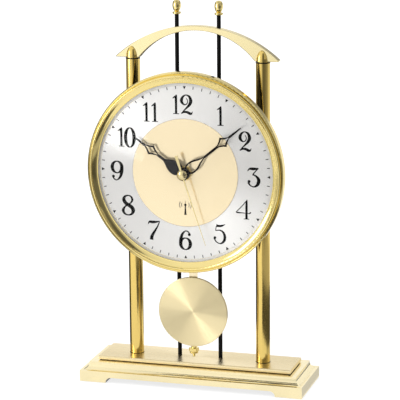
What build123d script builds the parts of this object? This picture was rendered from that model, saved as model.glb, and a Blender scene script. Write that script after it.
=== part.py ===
from build123d import *
import os
from math import atan2, cos, degrees, pi, radians, sin, sqrt

os.makedirs("parts", exist_ok=True)

# Desk pendulum clock. Millimetres, +Z up, +Y away from the viewer.
# The origin is on the table, under the middle of the whole clock.

# Base
base_width = 190.0
base_depth = 62.5
band_height = 9.3
cove_height = 6.3
cove_step = 2.4
cove_inset = 6.5
foot_length = 22.5
foot_arch_height = 4.5
pad_radius = 6.0
pad_thickness = 1.0
pad_sunk = 0.5
plate_width = 164.8
plate_depth = 38.2
plate_thickness = 3.0
plate_lift = 0.8
plate_undercut = 1.5
edge_break = 0.4

# Columns, rods and arch
column_radius = 5.85
column_spacing = 109.3
column_length = 249.1
rod_radius = 1.7
rod_spacing = 35.2
rod_seat = 6.0
rod_set_back = 2.0
rod_above_arch = 8.6
arch_half_span = 68.1
arch_tip = 0.9
arch_half_opening = 48.65
arch_rise = 27.1
arch_opening_rise = 23.3
arch_front = 3.35
arch_back = 4.25
bullet_height = 14.4
bullet_floor = 1.0
bullet_neck = 1.3
finial_radius = 3.5
finial_height = 11.6
finial_collar = 2.0
finial_waist = 1.5
finial_grip = 4.0
spigot_radius = 0.9

# Clock head: distances ahead of the dial's face are positive, behind it negative
dial_height = 183.4
dial_ahead = 37.1
dial_radius = 79.0
dial_thickness = 1.0
centre_disc_radius = 43.7
centre_disc_thickness = 0.25
bezel_radius = 81.7
bezel_lip_radius = 77.6
bezel_lip_thickness = 0.5
bezel_bead = 0.7
bezel_crest = 4.7
bezel_bead_inset = 2.5
bezel_bead_drop = 0.9
bezel_groove_inset = 2.2
bezel_groove_drop = 1.8
bezel_rim_inset = 1.2
bezel_rim_drop = 1.3
bezel_rim_front = 1.6
bezel_crimp = 0.8
bezel_back_break = 0.7
bezel_depth_behind = 4.2
reflector_radius = 77.9
reflector_inner_radius = 72.8
reflector_lip = 0.7
reflector_lip_top = 2.1
reflector_slope_foot = 1.9
reflector_height = 3.9
reflector_shoulder = 0.35
reflector_break = 0.2
glass_radius = 74.2
glass_thickness = 1.2
glass_wall_radius = 72.4
glass_rise = 16.2
glass_seat = 0.1
glass_gap = 0.2
glass_shoulder_share = (0.90, 0.36)
glass_crown_share = (0.55, 0.77)
drum_radius = 71.5
drum_wall = 1.5
drum_flange = 1.5
drum_flange_overhang = 0.4
drum_gap = 0.1
drum_opening_width = 84.0
drum_opening_height = 96.0
drum_slot_width = 32.0
drum_slot_height = 12.0
drum_slot_ahead = 4.0
drum_slot_behind = 5.5
case_screw_height = 25.0
case_boss_radius = 4.0
case_boss_length = 3.6

# Movement housing and what it holds
box_width = 56.0
box_top = 30.0
box_bottom = 42.0
box_depth = 15.8
box_wall = 1.2
box_corner = 3.0
battery_radius = 7.1
battery_length = 50.5
battery_drop = 32.5
battery_behind = 9.5
bay_top = 24.6
board_width = 50.0
board_height = 11.0
board_middle = 22.5
board_behind = 14.0
board_thickness = 1.0
antenna_radius = 3.5
antenna_length = 44.0
antenna_behind = 7.0
antenna_height = 24.0
antenna_coil_length = 18.0
antenna_winding = 0.9
chip_width = 8.0
chip_height = 7.0
chip_thickness = 1.2
crystal_radius = 1.0
crystal_length = 6.0
crystal_x = 10.0
contact_size = 10.0
contact_thickness = 0.5
contact_nub = 3.0
battery_nub_radius = 2.7
battery_nub_length = 1.0
button_spacing = 18.0
button_drop = 6.0
button_travel = 0.6
button_stem_radius = 1.2
button_cap_radius = 2.2
button_cap_thickness = 0.9
button_collar = 0.7
button_stem_inside = 1.0

# Hand shafts, one inside the other
bush_radius = 4.0
hour_tube_radius = 2.55
minute_tube_radius = 1.7
second_arbor_radius = 0.5
bush_flange = 2.0
bush_front = 3.4
tube_proud = 0.2
second_arbor_proud = 1.0
nut_height = 2.2
running_clearance = 0.05

# Gear train
hour_teeth = 40
motion_teeth = 30
hand_wheel_teeth = 60
idler_teeth = 50
pinion_teeth = 10
hour_module = 0.4
motion_module = 0.5
hand_wheel_module = 0.3
idler_module = 0.25
train_pin_radius = 0.5
train_shoulder_radius = 0.9
rotor_radius = 2.5
wheel_thickness = 1.0
idler_bearing = 160.0

# Hands
hour_length = 48.8
minute_length = 61.6
second_length = 60.0
hour_ahead = 4.2
minute_ahead = 6.2
second_ahead = 8.0
hand_thickness = 0.6
needle_thickness = 0.4
hand_bend_radius = 1000.0
hand_hub_radius = 5.0
hand_tip_half = 0.5
hour_leaf_share = 0.50
hour_stem_shares = (0.40, 0.52)
hour_diamond_shares = (0.46, 0.67, 0.86)
hour_tip_share = 0.80
hour_stem = 1.1
minute_leaf_share = 0.44
minute_stem_shares = (0.38, 0.61)
minute_diamond_shares = (0.555, 0.70, 0.84)
minute_tip_share = 0.80
minute_stem = 0.95
hour_leaf_half = 5.3
hour_diamond_half = 4.4
minute_leaf_half = 4.6
minute_leaf_frame = 1.35
minute_diamond_half = 4.6
diamond_frame = 1.85
leaf_widest = 11.0
second_boss_radius = 4.1
second_boss_height = 2.2
second_boss_wall = 0.5
second_boss_sunk = 0.5
needle_half = 0.6
needle_tip_half = 0.15
tail_half = 1.3
second_tail = 16.0
hour_angle = 304.2
minute_angle = 50.3
second_angle = 162.0

# Pendulum
pivot_height = 14.0
pivot_pin_radius = 0.8
pivot_collar = 1.0
pivot_play = 0.3
pivot_cap_thickness = 0.7
bob_radius = 29.3
bob_thickness = 2.0
lever_behind = 19.5
lever_thickness = 1.0
lever_width = 5.0
lever_eye_radius = 3.0
strip_width = 7.0
strip_thickness = 1.0
strip_gap = 0.1
strip_share = 0.7
rating_nut_radius = 4.2
rating_nut_length = 9.4
rating_nut_room = 4.5
rating_nut_neck = 2.2
rating_nut_collar = 1.4
rating_nut_break = 0.5
rating_band_height = 3.0
rating_groove = 0.5
rating_bead_radius = 3.6
rating_tip_radius = 1.2
rating_tip_waist = 0.9
flute_count = 14
flute_radius = 0.55
rating_thread_radius = 1.2
rating_thread_grip = 6.0
drive_drop = 13.0
drive_coil_radius = 6.0
drive_coil_bore = 2.0
drive_coil_thickness = 1.8
drive_magnet_radius = 3.0
drive_magnet_thickness = 1.0
hang_drop = 19.0
hang_stud_radius = 1.0
hang_head = 0.6

# Fasteners
column_screw_radius = 2.5
column_screw_head = 4.5
column_screw_head_height = 2.6
column_screw_recess = 3.0
column_screw_grip = 12.0
case_screw_radius = 1.5
case_screw_head = 2.8
case_screw_head_height = 2.0
case_screw_sunk = 0.2
stud_radius = 1.5
stud_reach = 6.0
fit_clearance = 0.05
end_gap = 0.2

# Levels and places that follow from the sizes above
base_bottom = pad_thickness - pad_sunk
band_top = base_bottom + band_height
plinth_top = band_top + cove_height
plate_bottom = plinth_top + plate_lift
plate_top = plate_bottom + plate_thickness
column_top = plate_top + column_length
arch_bottom = column_top + bullet_floor
arch_apex = arch_bottom + arch_rise
rod_top = arch_apex + rod_above_arch
column_x = column_spacing / 2
rod_x = rod_spacing / 2
glass_front = glass_seat + glass_rise + glass_thickness
front_reach = dial_ahead + glass_front
stand_y = (front_reach - base_depth / 2) / 2
dial_y = stand_y - dial_ahead
dial_z = dial_height
drum_back = -(dial_ahead - column_radius - drum_gap)
dial_axis = Axis((0, dial_y, dial_z), (0, -1, 0))
dial_section = Plane(origin=(0, dial_y, dial_z), x_dir=(1, 0, 0), z_dir=(0, 0, -1))
UPRIGHT = (Align.CENTER, Align.CENTER, Align.MIN)


def face(ahead):
    """The dial's plane moved towards the viewer: x right, y up, z to the viewer."""
    return Plane(origin=(0, dial_y - ahead, dial_z), x_dir=(1, 0, 0), z_dir=(0, -1, 0))


def upright_section(x, y):
    """A half section through an upright turned piece at (x, y): radius, then height."""
    return Plane(origin=(x, y, 0), x_dir=(1, 0, 0), z_dir=(0, -1, 0))


def keep(piece, name):
    """Label a finished piece and write its file."""
    piece.part.label = name
    export_step(piece.part, f"parts/{name}.step")


def disc(radius, back, front, at=(0, 0), mode=Mode.ADD):
    """A round boss, tube or bore along the dial's axis, from back to front."""
    with BuildSketch(face(back)) as outline:
        with Locations(at):
            Circle(radius)
    extrude(outline.sketch, amount=front - back, mode=mode)


def block(left, right, low, high, back, front, mode=Mode.ADD):
    """A box given by its sides, seen from the front, and its back and front planes."""
    with BuildSketch(face(back)) as outline:
        with Locations(((left + right) / 2, (low + high) / 2)):
            Rectangle(right - left, high - low)
    extrude(outline.sketch, amount=front - back, mode=mode)


def post(radius, height, at, mode=Mode.ADD):
    """An upright round post, or an upright bore, that starts at the point given."""
    with Locations(at):
        Cylinder(radius, height, align=UPRIGHT, mode=mode)


# Base plinth: two moulded profiles, crossed, give the mitred cove


def moulded_side(half_width):
    """One side of the plinth's moulding, from the foot up to the top."""
    arc_share = sqrt(0.5)
    cove_depth = cove_inset - cove_step
    foot = (half_width, base_bottom)
    band_edge = (half_width, band_top)
    cove_start = (half_width - cove_step, band_top)
    cove_middle = (half_width - cove_step - cove_depth * arc_share, plinth_top - cove_height * arc_share)
    cove_end = (half_width - cove_inset, plinth_top)
    Polyline(foot, band_edge, cove_start)
    ThreePointArc(cove_start, cove_middle, cove_end)
    Line(cove_end, (0, plinth_top))
    return foot


pad_x = base_width / 2 - foot_length / 2
pad_y = base_depth / 2 - foot_length / 2
pad_places = [(x, stand_y + y) for x in (-pad_x, pad_x) for y in (-pad_y, pad_y)]
column_places = [(-column_x, stand_y), (column_x, stand_y)]
rod_y = stand_y + rod_set_back
rod_places = [(-rod_x, rod_y), (rod_x, rod_y)]
column_screw_seat = base_bottom + foot_arch_height + column_screw_recess

with BuildPart() as base_plinth:
    with BuildSketch(Plane(origin=(0, stand_y, 0), x_dir=(1, 0, 0), z_dir=(0, -1, 0))):
        with BuildLine():
            heel = moulded_side(base_width / 2)
            toe = (heel[0] - foot_length, base_bottom)
            arch_end = (toe[0] - foot_arch_height, base_bottom + foot_arch_height)
            Line(heel, toe)
            CenterArc((arch_end[0], base_bottom), foot_arch_height, 0, 90)
            Line(arch_end, (0, arch_end[1]))
            mirror(about=Plane.YZ)
        make_face()
    extrude(amount=base_depth / 2, both=True)
    with BuildSketch(Plane(origin=(0, stand_y, 0), x_dir=(0, 1, 0), z_dir=(1, 0, 0))):
        with BuildLine():
            heel = moulded_side(base_depth / 2)
            Line(heel, (0, base_bottom))
            mirror(about=Plane.YZ)
        make_face()
    extrude(amount=base_width / 2, both=True, mode=Mode.INTERSECT)
    for x, y in column_places:
        post(column_screw_radius + fit_clearance, plinth_top, (x, y, 0), Mode.SUBTRACT)
        post(column_screw_head + fit_clearance, column_screw_seat, (x, y, 0), Mode.SUBTRACT)
    for x, y in rod_places:
        post(rod_radius + fit_clearance, rod_seat, (x, y, plate_top - rod_seat), Mode.SUBTRACT)
    for x, y in pad_places:
        post(pad_radius + fit_clearance, pad_sunk, (x, y, base_bottom), Mode.SUBTRACT)
keep(base_plinth, "base_plinth")

with BuildPart() as foot_pads:
    for x, y in pad_places:
        post(pad_radius, pad_thickness, (x, y, 0))
keep(foot_pads, "foot_pads")

with BuildPart() as base_top_plate:
    with BuildSketch(Plane.XY.offset(plate_bottom)):
        with Locations((0, stand_y)):
            Rectangle(plate_width, plate_depth)
    extrude(amount=plate_thickness)
    chamfer(base_top_plate.faces().sort_by(Axis.Z)[-1].edges(), edge_break)
    with BuildSketch(Plane.XY.offset(plinth_top)):
        with Locations((0, stand_y)):
            Rectangle(plate_width - 2 * plate_undercut, plate_depth - 2 * plate_undercut)
    extrude(amount=plate_lift)
    for x, y in column_places:
        post(column_screw_radius + fit_clearance, plate_top, (x, y, 0), Mode.SUBTRACT)
    for x, y in rod_places:
        post(rod_radius + fit_clearance, plate_top, (x, y, 0), Mode.SUBTRACT)
keep(base_top_plate, "base_top_plate")

with BuildPart() as column_screws:
    for x, y in column_places:
        head_bottom = column_screw_seat - column_screw_head_height
        shank_length = plate_top + column_screw_grip - end_gap - column_screw_seat
        post(column_screw_head, column_screw_head_height, (x, y, head_bottom))
        post(column_screw_radius, shank_length, (x, y, column_screw_seat))
keep(column_screws, "column_screws")

# Columns, with the cross holes for the screws that hold the clock head
case_screw_levels = [dial_z - case_screw_height, dial_z + case_screw_height]
case_screw_seat = stand_y + column_radius - case_screw_head_height - case_screw_sunk
case_screw_tip = dial_y - drum_back - case_boss_length
case_screw_places = [(x, z) for x in (-column_x, column_x) for z in case_screw_levels]


def back_bore(radius, x, z, start, end, mode):
    """A round piece or hole along +Y, from start to end."""
    with BuildSketch(Plane(origin=(x, start, z), x_dir=(1, 0, 0), z_dir=(0, 1, 0))) as outline:
        Circle(radius)
    extrude(outline.sketch, amount=end - start, mode=mode)


for side, x in (("left", -column_x), ("right", column_x)):
    with BuildPart() as column:
        post(column_radius, column_length, (x, stand_y, plate_top))
        post(column_screw_radius + fit_clearance, column_screw_grip, (x, stand_y, plate_top), Mode.SUBTRACT)
        post(stud_radius + fit_clearance, stud_reach, (x, stand_y, column_top - stud_reach), Mode.SUBTRACT)
        for z in case_screw_levels:
            front_side = stand_y - 2 * column_radius
            back_side = stand_y + 2 * column_radius
            back_bore(case_screw_radius + fit_clearance, x, z, front_side, back_side, Mode.SUBTRACT)
            back_bore(case_screw_head + fit_clearance, x, z, case_screw_seat, back_side, Mode.SUBTRACT)
    keep(column, f"column_{side}")

with BuildPart() as case_screws:
    for x, z in case_screw_places:
        back_bore(case_screw_radius, x, z, case_screw_tip, case_screw_seat, Mode.ADD)
        head_end = case_screw_seat + case_screw_head_height
        back_bore(case_screw_head, x, z, case_screw_seat, head_end, Mode.ADD)
keep(case_screws, "case_screws")

# Bullet finials: an ogive slotted by the arch, so two prongs stand beside it
ogive_height = bullet_height - bullet_floor
ogive_radius = (column_radius**2 + ogive_height**2) / (2 * column_radius)
ogive_half = sqrt(ogive_radius**2 - (ogive_height / 2) ** 2) - ogive_radius + column_radius
for side, x in (("left", -column_x), ("right", column_x)):
    with BuildPart() as bullet:
        with BuildSketch(upright_section(x, stand_y)):
            with BuildLine():
                shoulder = (column_radius, column_top + bullet_floor)
                tip = (0, column_top + bullet_height)
                neck_radius = column_radius - bullet_neck
                neck_top = (neck_radius, shoulder[1])
                Polyline(tip, (0, column_top), (neck_radius, column_top), neck_top, shoulder)
                ThreePointArc(shoulder, (ogive_half, shoulder[1] + ogive_height / 2), tip)
            make_face()
        revolve(axis=Axis((x, stand_y, 0), (0, 0, 1)))
        slot_width = arch_front + arch_back + 2 * fit_clearance
        with Locations((x, stand_y + (arch_back - arch_front) / 2, arch_bottom)):
            Box(3 * column_radius, slot_width, bullet_height, align=UPRIGHT, mode=Mode.SUBTRACT)
        post(stud_radius + fit_clearance, bullet_height, (x, stand_y, column_top), Mode.SUBTRACT)
    keep(bullet, f"column_finial_{side}")

with BuildPart() as arch_studs:
    for x, y in column_places:
        stud_length = 2 * stud_reach + bullet_floor - 2 * end_gap
        post(stud_radius, stud_length, (x, y, column_top - stud_reach + end_gap))
keep(arch_studs, "arch_studs")

with BuildPart() as arch:
    with BuildSketch(Plane(origin=(0, stand_y + arch_back, 0), x_dir=(1, 0, 0), z_dir=(0, -1, 0))):
        with BuildLine():
            left_tip = (-arch_half_span, arch_bottom + arch_tip)
            right_tip = (arch_half_span, arch_bottom + arch_tip)
            left_foot = (-arch_half_span, arch_bottom)
            right_foot = (arch_half_span, arch_bottom)
            left_corner = (-arch_half_opening, arch_bottom)
            right_corner = (arch_half_opening, arch_bottom)
            ThreePointArc(left_tip, (0, arch_apex), right_tip)
            Polyline(right_tip, right_foot, right_corner)
            ThreePointArc(right_corner, (0, arch_bottom + arch_opening_rise), left_corner)
            Polyline(left_corner, left_foot, left_tip)
        make_face()
    extrude(amount=arch_front + arch_back)
    broad_faces = arch.faces().filter_by(Axis.Y)
    chamfer(broad_faces.edges(), edge_break)
    for x, y in rod_places:
        post(rod_radius + fit_clearance, arch_rise, (x, y, arch_bottom), Mode.SUBTRACT)
    for x, y in column_places:
        post(stud_radius + fit_clearance, stud_reach, (x, y, arch_bottom), Mode.SUBTRACT)
keep(arch, "arch")

# Slim black rods and their turned finials
rod_bottom = plate_top - rod_seat + end_gap
for side, x in (("left", -rod_x), ("right", rod_x)):
    with BuildPart() as rod:
        post(rod_radius, rod_top - rod_bottom, (x, rod_y, rod_bottom))
        post(spigot_radius, finial_grip - end_gap, (x, rod_y, rod_top))
    keep(rod, f"rod_{side}")

    with BuildPart() as rod_finial:
        with BuildSketch(upright_section(x, rod_y)):
            with BuildLine():
                top = rod_top + finial_height
                egg_half = (finial_height - finial_collar) / 2
                belly = (finial_radius, top - egg_half)
                waist = (finial_waist, rod_top + finial_collar)
                collar_edge = (finial_radius - finial_collar / 2, rod_top + finial_collar)
                collar_foot = (collar_edge[0], rod_top)
                collar_bulge = (finial_radius, rod_top + finial_collar / 2)
                Polyline((0, top), (0, rod_top), collar_foot)
                ThreePointArc(collar_foot, collar_bulge, collar_edge)
                Line(collar_edge, waist)
                TangentArc(belly, waist, tangent=(0, -1))
                Spline(belly, (0, top), tangents=((0, 1), (-1, 0)))
            make_face()
        revolve(axis=Axis((x, rod_y, 0), (0, 0, 1)))
        post(spigot_radius + fit_clearance, finial_grip, (x, rod_y, rod_top), Mode.SUBTRACT)
    keep(rod_finial, f"rod_finial_{side}")

# Clock head: drum, dial, reflector ring, glass and bezel, stacked on one axis
flange_radius = dial_radius + drum_flange_overhang
flange_back = -dial_thickness - drum_flange

with BuildPart() as case_drum:
    disc(drum_radius, drum_back, flange_back)
    disc(flange_radius, flange_back, -dial_thickness)
    disc(drum_radius - drum_wall, drum_back + drum_wall, -dial_thickness, mode=Mode.SUBTRACT)
    half_wide = drum_opening_width / 2
    half_high = drum_opening_height / 2
    block(-half_wide, half_wide, -half_high, half_high, drum_back, drum_back + drum_wall, Mode.SUBTRACT)
    half_slot = drum_slot_width / 2
    slot_top = -drum_radius + drum_slot_height
    slot_front = -lever_behind + drum_slot_ahead
    slot_back = -lever_behind - drum_slot_behind
    block(-half_slot, half_slot, -drum_radius, slot_top, slot_back, slot_front, Mode.SUBTRACT)
    for x, z in case_screw_places:
        boss_place = (x, z - dial_z)
        boss_end = drum_back + drum_wall + case_boss_length
        disc(case_boss_radius, drum_back + drum_wall, boss_end, boss_place)
        disc(case_screw_radius + fit_clearance, drum_back, boss_end, boss_place, Mode.SUBTRACT)
keep(case_drum, "case_drum")

with BuildPart() as dial_plate:
    disc(dial_radius, -dial_thickness, 0)
    disc(bush_radius + fit_clearance, -dial_thickness, 0, mode=Mode.SUBTRACT)
keep(dial_plate, "dial_plate")

with BuildPart() as dial_centre:
    disc(centre_disc_radius, 0, centre_disc_thickness)
    disc(bush_radius + fit_clearance, 0, centre_disc_thickness, mode=Mode.SUBTRACT)
keep(dial_centre, "dial_centre")

with BuildPart() as reflector_ring:
    with BuildSketch(dial_section):
        with BuildLine():
            lip_inner = reflector_inner_radius
            lip_under = glass_seat + glass_thickness + glass_gap / 2
            rim_room = glass_radius + glass_gap
            slope_start = (lip_inner + reflector_lip, reflector_slope_foot)
            slope_end = (bezel_lip_radius - glass_gap, reflector_height)
            slope_middle_r = (slope_start[0] + slope_end[0]) / 2 + glass_gap / 2
            slope_middle = (slope_middle_r, (slope_start[1] + slope_end[1]) / 2 - glass_gap)
            ring_shoulder = reflector_height - reflector_shoulder
            Polyline(
                slope_start,
                (slope_start[0], reflector_lip_top),
                (lip_inner + reflector_break, reflector_lip_top),
                (lip_inner, reflector_lip_top - reflector_break),
                (lip_inner, lip_under),
                (rim_room, lip_under),
                (rim_room, 0),
                (reflector_radius, 0),
                (reflector_radius, ring_shoulder),
                (slope_end[0], ring_shoulder),
                slope_end,
            )
            ThreePointArc(slope_end, slope_middle, slope_start)
        make_face()
    revolve(axis=dial_axis)
keep(reflector_ring, "reflector_ring")


def dome(wall_radius, foot, rise):
    """One side of the glass: from its foot a rounded wall, then a shallow dome to the middle."""
    bend = (glass_shoulder_share[0] * wall_radius, foot + glass_shoulder_share[1] * rise)
    crown = (glass_crown_share[0] * wall_radius, foot + glass_crown_share[1] * rise)
    Spline((wall_radius, foot), bend, crown, (0, foot + rise), tangents=((0, 1), (-1, 0)))


with BuildPart() as glass:
    with BuildSketch(dial_section):
        with BuildLine():
            inner_wall = glass_wall_radius - glass_thickness
            rim_front = glass_seat + glass_thickness
            dome(inner_wall, glass_seat, glass_rise)
            dome(glass_wall_radius, rim_front, glass_rise)
            Polyline((inner_wall, glass_seat), (glass_radius, glass_seat), (glass_radius, rim_front),
                     (glass_wall_radius, rim_front))
            Line((0, glass_seat + glass_rise), (0, glass_front))
        make_face()
    revolve(axis=dial_axis)
keep(glass, "glass")

with BuildPart() as bezel:
    with BuildSketch(dial_section):
        with BuildLine():
            bezel_back = -bezel_depth_behind
            lip_back = ring_shoulder + glass_gap / 2
            lip_edge = (bezel_lip_radius, lip_back + bezel_lip_thickness)
            bead_crest = (bezel_lip_radius + bezel_bead, bezel_crest)
            bead_end = (bezel_radius - bezel_bead_inset, bezel_crest - bezel_bead_drop)
            rim_groove = (bezel_radius - bezel_groove_inset, bezel_crest - bezel_groove_drop)
            rim_start = (bezel_radius - bezel_rim_inset, bezel_crest - bezel_rim_drop)
            rim_end = (bezel_radius, bezel_rim_front)
            crimp_radius = flange_radius - bezel_crimp
            crimp_front = flange_back - glass_gap
            wall_radius = flange_radius + glass_gap
            step_radius = reflector_radius + glass_gap / 2
            step_back = glass_gap / 2
            ThreePointArc(lip_edge, bead_crest, bead_end)
            Polyline(bead_end, rim_groove, rim_start)
            TangentArc(rim_end, rim_start, tangent=(0, 1))
            Polyline(rim_end, (bezel_radius, bezel_back + bezel_back_break),
                     (bezel_radius - bezel_back_break, bezel_back), (crimp_radius, bezel_back),
                     (crimp_radius, crimp_front), (wall_radius, crimp_front),
                     (wall_radius, step_back), (step_radius, step_back), (step_radius, lip_back),
                     (bezel_lip_radius, lip_back), lip_edge)
        make_face()
    revolve(axis=dial_axis)
keep(bezel, "bezel")

# Movement housing: a tray behind the dial and a cover on its back
box_front = -dial_thickness
box_floor = box_front - box_wall
box_back = box_front - box_depth
cover_back = box_back - box_wall
box_half = box_width / 2
box_room = box_half - box_wall


def box_outline(back, front):
    """The housing's outline, with rounded corners, as one solid block."""
    with BuildSketch(face(back)) as outline:
        with Locations((0, (box_top - box_bottom) / 2)):
            RectangleRounded(box_width, box_top + box_bottom, box_corner)
    extrude(outline.sketch, amount=front - back)


centre_distance = hand_wheel_module * (hand_wheel_teeth + pinion_teeth) / 2
motion_distance = motion_module * (motion_teeth + pinion_teeth) / 2
rotor_distance = idler_module * (idler_teeth + pinion_teeth) / 2
idler_x = -centre_distance * cos(radians(idler_bearing))
idler_z = centre_distance * sin(radians(idler_bearing))
rotor_x = idler_x + rotor_distance
rotor_z = idler_z
minute_idler_place = (-idler_x, idler_z)
second_idler_place = (idler_x, idler_z)
minute_rotor_place = (-rotor_x, rotor_z)
second_rotor_place = (rotor_x, rotor_z)
motion_place = (0, motion_distance)
arbor_places = [motion_place, minute_idler_place, second_idler_place, minute_rotor_place, second_rotor_place]

# Layers of the train, each given by the back of its wheel or pinion
hour_layer = -4.2
motion_layer = -6.0
minute_layer = -8.0
minute_idler_layer = -9.8
second_layer = -12.0
second_idler_layer = -13.8
magnet_layer = -12.4
magnet_thickness = 2.0
pinion_proud = 0.1

stator_back = -11.9
stator_thickness = 1.0
stator_half = 7.0
stator_leg = 2.0
stator_yoke = 6.5
rotor_air_gap = 0.5
stator_rise = 4.4
stator_top = rotor_z + stator_rise
idler_notch_room = 1.0
idler_notch = hand_wheel_module * pinion_teeth / 2 + idler_notch_room
core_middle = -16.25
core_height = 2.5
coil_radius = 4.0
coil_length = 2 * (stator_half - stator_leg - end_gap)
board_post_x = 24.0
board_post_z = 4.0
board_post_levels = (board_middle - board_post_z, board_middle + board_post_z)
board_posts = [(x, z) for x in (-board_post_x, board_post_x) for z in board_post_levels]
stator_post_x = stator_half - stator_leg / 2
stator_legs = (-stator_post_x, stator_post_x)
stator_posts = [(side * rotor_x + leg, core_middle) for side in (-1, 1) for leg in stator_legs]
board_post_radius = 1.2
stator_post_radius = 1.0
cradle_x = 18.0
cradle_half = 1.0
cradle_reach = 3.0
arbor_sunk = 0.8

with BuildPart() as movement_tray:
    box_outline(box_back, box_front)
    gear_room_bottom = -bay_top + box_wall
    block(-box_room, box_room, gear_room_bottom, box_top - box_wall, box_back, box_floor, Mode.SUBTRACT)
    block(-box_room, box_room, -box_bottom + box_wall, -bay_top, box_back, box_floor, Mode.SUBTRACT)
    for place in board_posts:
        disc(board_post_radius, -board_behind, box_floor, place)
    for place in stator_posts:
        disc(stator_post_radius, stator_back + stator_thickness, box_floor, place)
    cradle_low = antenna_height - cradle_reach
    cradle_high = antenna_height + cradle_reach
    cradle_back = -antenna_behind + antenna_radius + fit_clearance
    for x in (-cradle_x, cradle_x):
        block(x - cradle_half, x + cradle_half, cradle_low, cradle_high, cradle_back, box_floor)
    disc(bush_radius + fit_clearance, box_floor, box_front, mode=Mode.SUBTRACT)
    for place in arbor_places:
        disc(train_shoulder_radius + fit_clearance, box_floor, box_floor + arbor_sunk, place, Mode.SUBTRACT)
keep(movement_tray, "movement_tray")

button_z = box_top - button_drop
button_x = button_spacing / 2
button_places = {"set_button": (-button_x, button_z), "reset_button": (button_x, button_z)}
pivot_place = (0, pivot_height)

with BuildPart() as movement_cover:
    box_outline(cover_back, box_back)
    bay_rim = 0.8
    bay_half = box_room - bay_rim
    bay_low = -box_bottom + box_wall + bay_rim
    block(-bay_half, bay_half, bay_low, -bay_top - bay_rim / 2, cover_back, box_back, Mode.SUBTRACT)
    for place in button_places.values():
        disc(button_stem_radius + running_clearance, cover_back, box_back, place, Mode.SUBTRACT)
    disc(pivot_pin_radius + fit_clearance, cover_back, box_back, pivot_place, Mode.SUBTRACT)
keep(movement_cover, "movement_cover")

with BuildPart() as centre_bush:
    flange_thickness = 0.6
    disc(bush_radius + bush_flange, box_floor - flange_thickness, box_floor)
    disc(bush_radius, box_floor, bush_front)
    bush_bore = hour_tube_radius + running_clearance
    disc(bush_bore, box_floor - flange_thickness, bush_front, mode=Mode.SUBTRACT)
keep(centre_bush, "centre_bush")

with BuildPart() as dial_nut:
    with BuildSketch(face(centre_disc_thickness)):
        RegularPolygon(bush_radius + bush_flange, 6)
        Circle(bush_radius + fit_clearance, mode=Mode.SUBTRACT)
    extrude(amount=nut_height)
keep(dial_nut, "dial_nut")

# Battery and its contacts, in the bay that opens to the back
bay_middle = -battery_drop
cell_axis = Axis((0, dial_y + battery_behind, dial_z - battery_drop), (1, 0, 0))
cell_section = Plane(origin=cell_axis.position, x_dir=(1, 0, 0), z_dir=(0, 1, 0))
with BuildPart() as battery:
    with BuildSketch(cell_section):
        with BuildLine():
            half = battery_length / 2
            shoulder_x = half - battery_nub_length
            Polyline((-half, 0), (half, 0), (half, -battery_nub_radius), (shoulder_x, -battery_nub_radius),
                     (shoulder_x, -battery_radius), (-half, -battery_radius), (-half, 0))
        make_face()
    revolve(axis=cell_axis)
keep(battery, "battery")

for name, sign in (("battery_contact_positive", 1), ("battery_contact_negative", -1)):
    with BuildPart() as contact:
        outer = sign * box_room
        inner = sign * (box_room - contact_thickness)
        dimple_end = sign * (battery_length / 2 + fit_clearance)
        for near, far, size in ((inner, outer, contact_size), (inner, dimple_end, contact_nub)):
            left, right = sorted((near, far))
            low = bay_middle - size / 2
            back = -battery_behind - size / 2
            block(left, right, low, low + size, back, back + size)
    keep(contact, name)

# Circuit board, crystal, chip and the antenna for the radio signal
with BuildPart() as circuit_board:
    board_half = board_width / 2
    board_low = board_middle - board_height / 2
    board_high = board_middle + board_height / 2
    board_back = -board_behind - board_thickness
    block(-board_half, board_half, board_low, board_high, board_back, -board_behind)
keep(circuit_board, "circuit_board")

with BuildPart() as control_chip:
    chip_low = board_middle - chip_height / 2
    chip_front = -board_behind + chip_thickness
    block(-chip_width / 2, chip_width / 2, chip_low, chip_low + chip_height, -board_behind, chip_front)
keep(control_chip, "control_chip")

with BuildPart() as quartz_crystal:
    crystal_y = dial_y + board_behind - crystal_radius - fit_clearance
    crystal_end = (crystal_x, crystal_y, dial_z + board_middle)
    with BuildSketch(Plane(origin=crystal_end, x_dir=(0, 1, 0), z_dir=(1, 0, 0))):
        Circle(crystal_radius)
    extrude(amount=crystal_length)
keep(quartz_crystal, "quartz_crystal")

antenna_middle = (0, dial_y + antenna_behind, dial_z + antenna_height)
antenna_plane = Plane(origin=antenna_middle, x_dir=(0, 1, 0), z_dir=(1, 0, 0))
with BuildPart() as antenna_core:
    with BuildSketch(antenna_plane):
        Circle(antenna_radius)
    extrude(amount=antenna_length / 2, both=True)
keep(antenna_core, "antenna_core")

with BuildPart() as antenna_coil:
    with BuildSketch(antenna_plane):
        Circle(antenna_radius + antenna_winding)
        Circle(antenna_radius + fit_clearance, mode=Mode.SUBTRACT)
    extrude(amount=antenna_coil_length / 2, both=True)
keep(antenna_coil, "antenna_coil")

# Two step motors: a stator plate that loops through its coil, and a magnet rotor
with BuildPart() as motor_stators:
    for side in (-1, 1):
        middle = side * rotor_x
        core_low = core_middle - core_height / 2
        core_high = core_middle + core_height / 2
        inside = stator_half - stator_leg
        stator_front = stator_back + stator_thickness
        block(middle - stator_half, middle + stator_half, core_low, stator_top, stator_back, stator_front)
        yoke_low = rotor_z - stator_yoke
        block(middle - inside, middle + inside, core_high, yoke_low, stator_back, stator_front, Mode.SUBTRACT)
        disc(rotor_radius + rotor_air_gap, stator_back, stator_front, (middle, rotor_z), Mode.SUBTRACT)
        disc(idler_notch, stator_back, stator_front, (side * idler_x, idler_z), Mode.SUBTRACT)
keep(motor_stators, "motor_stators")

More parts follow.
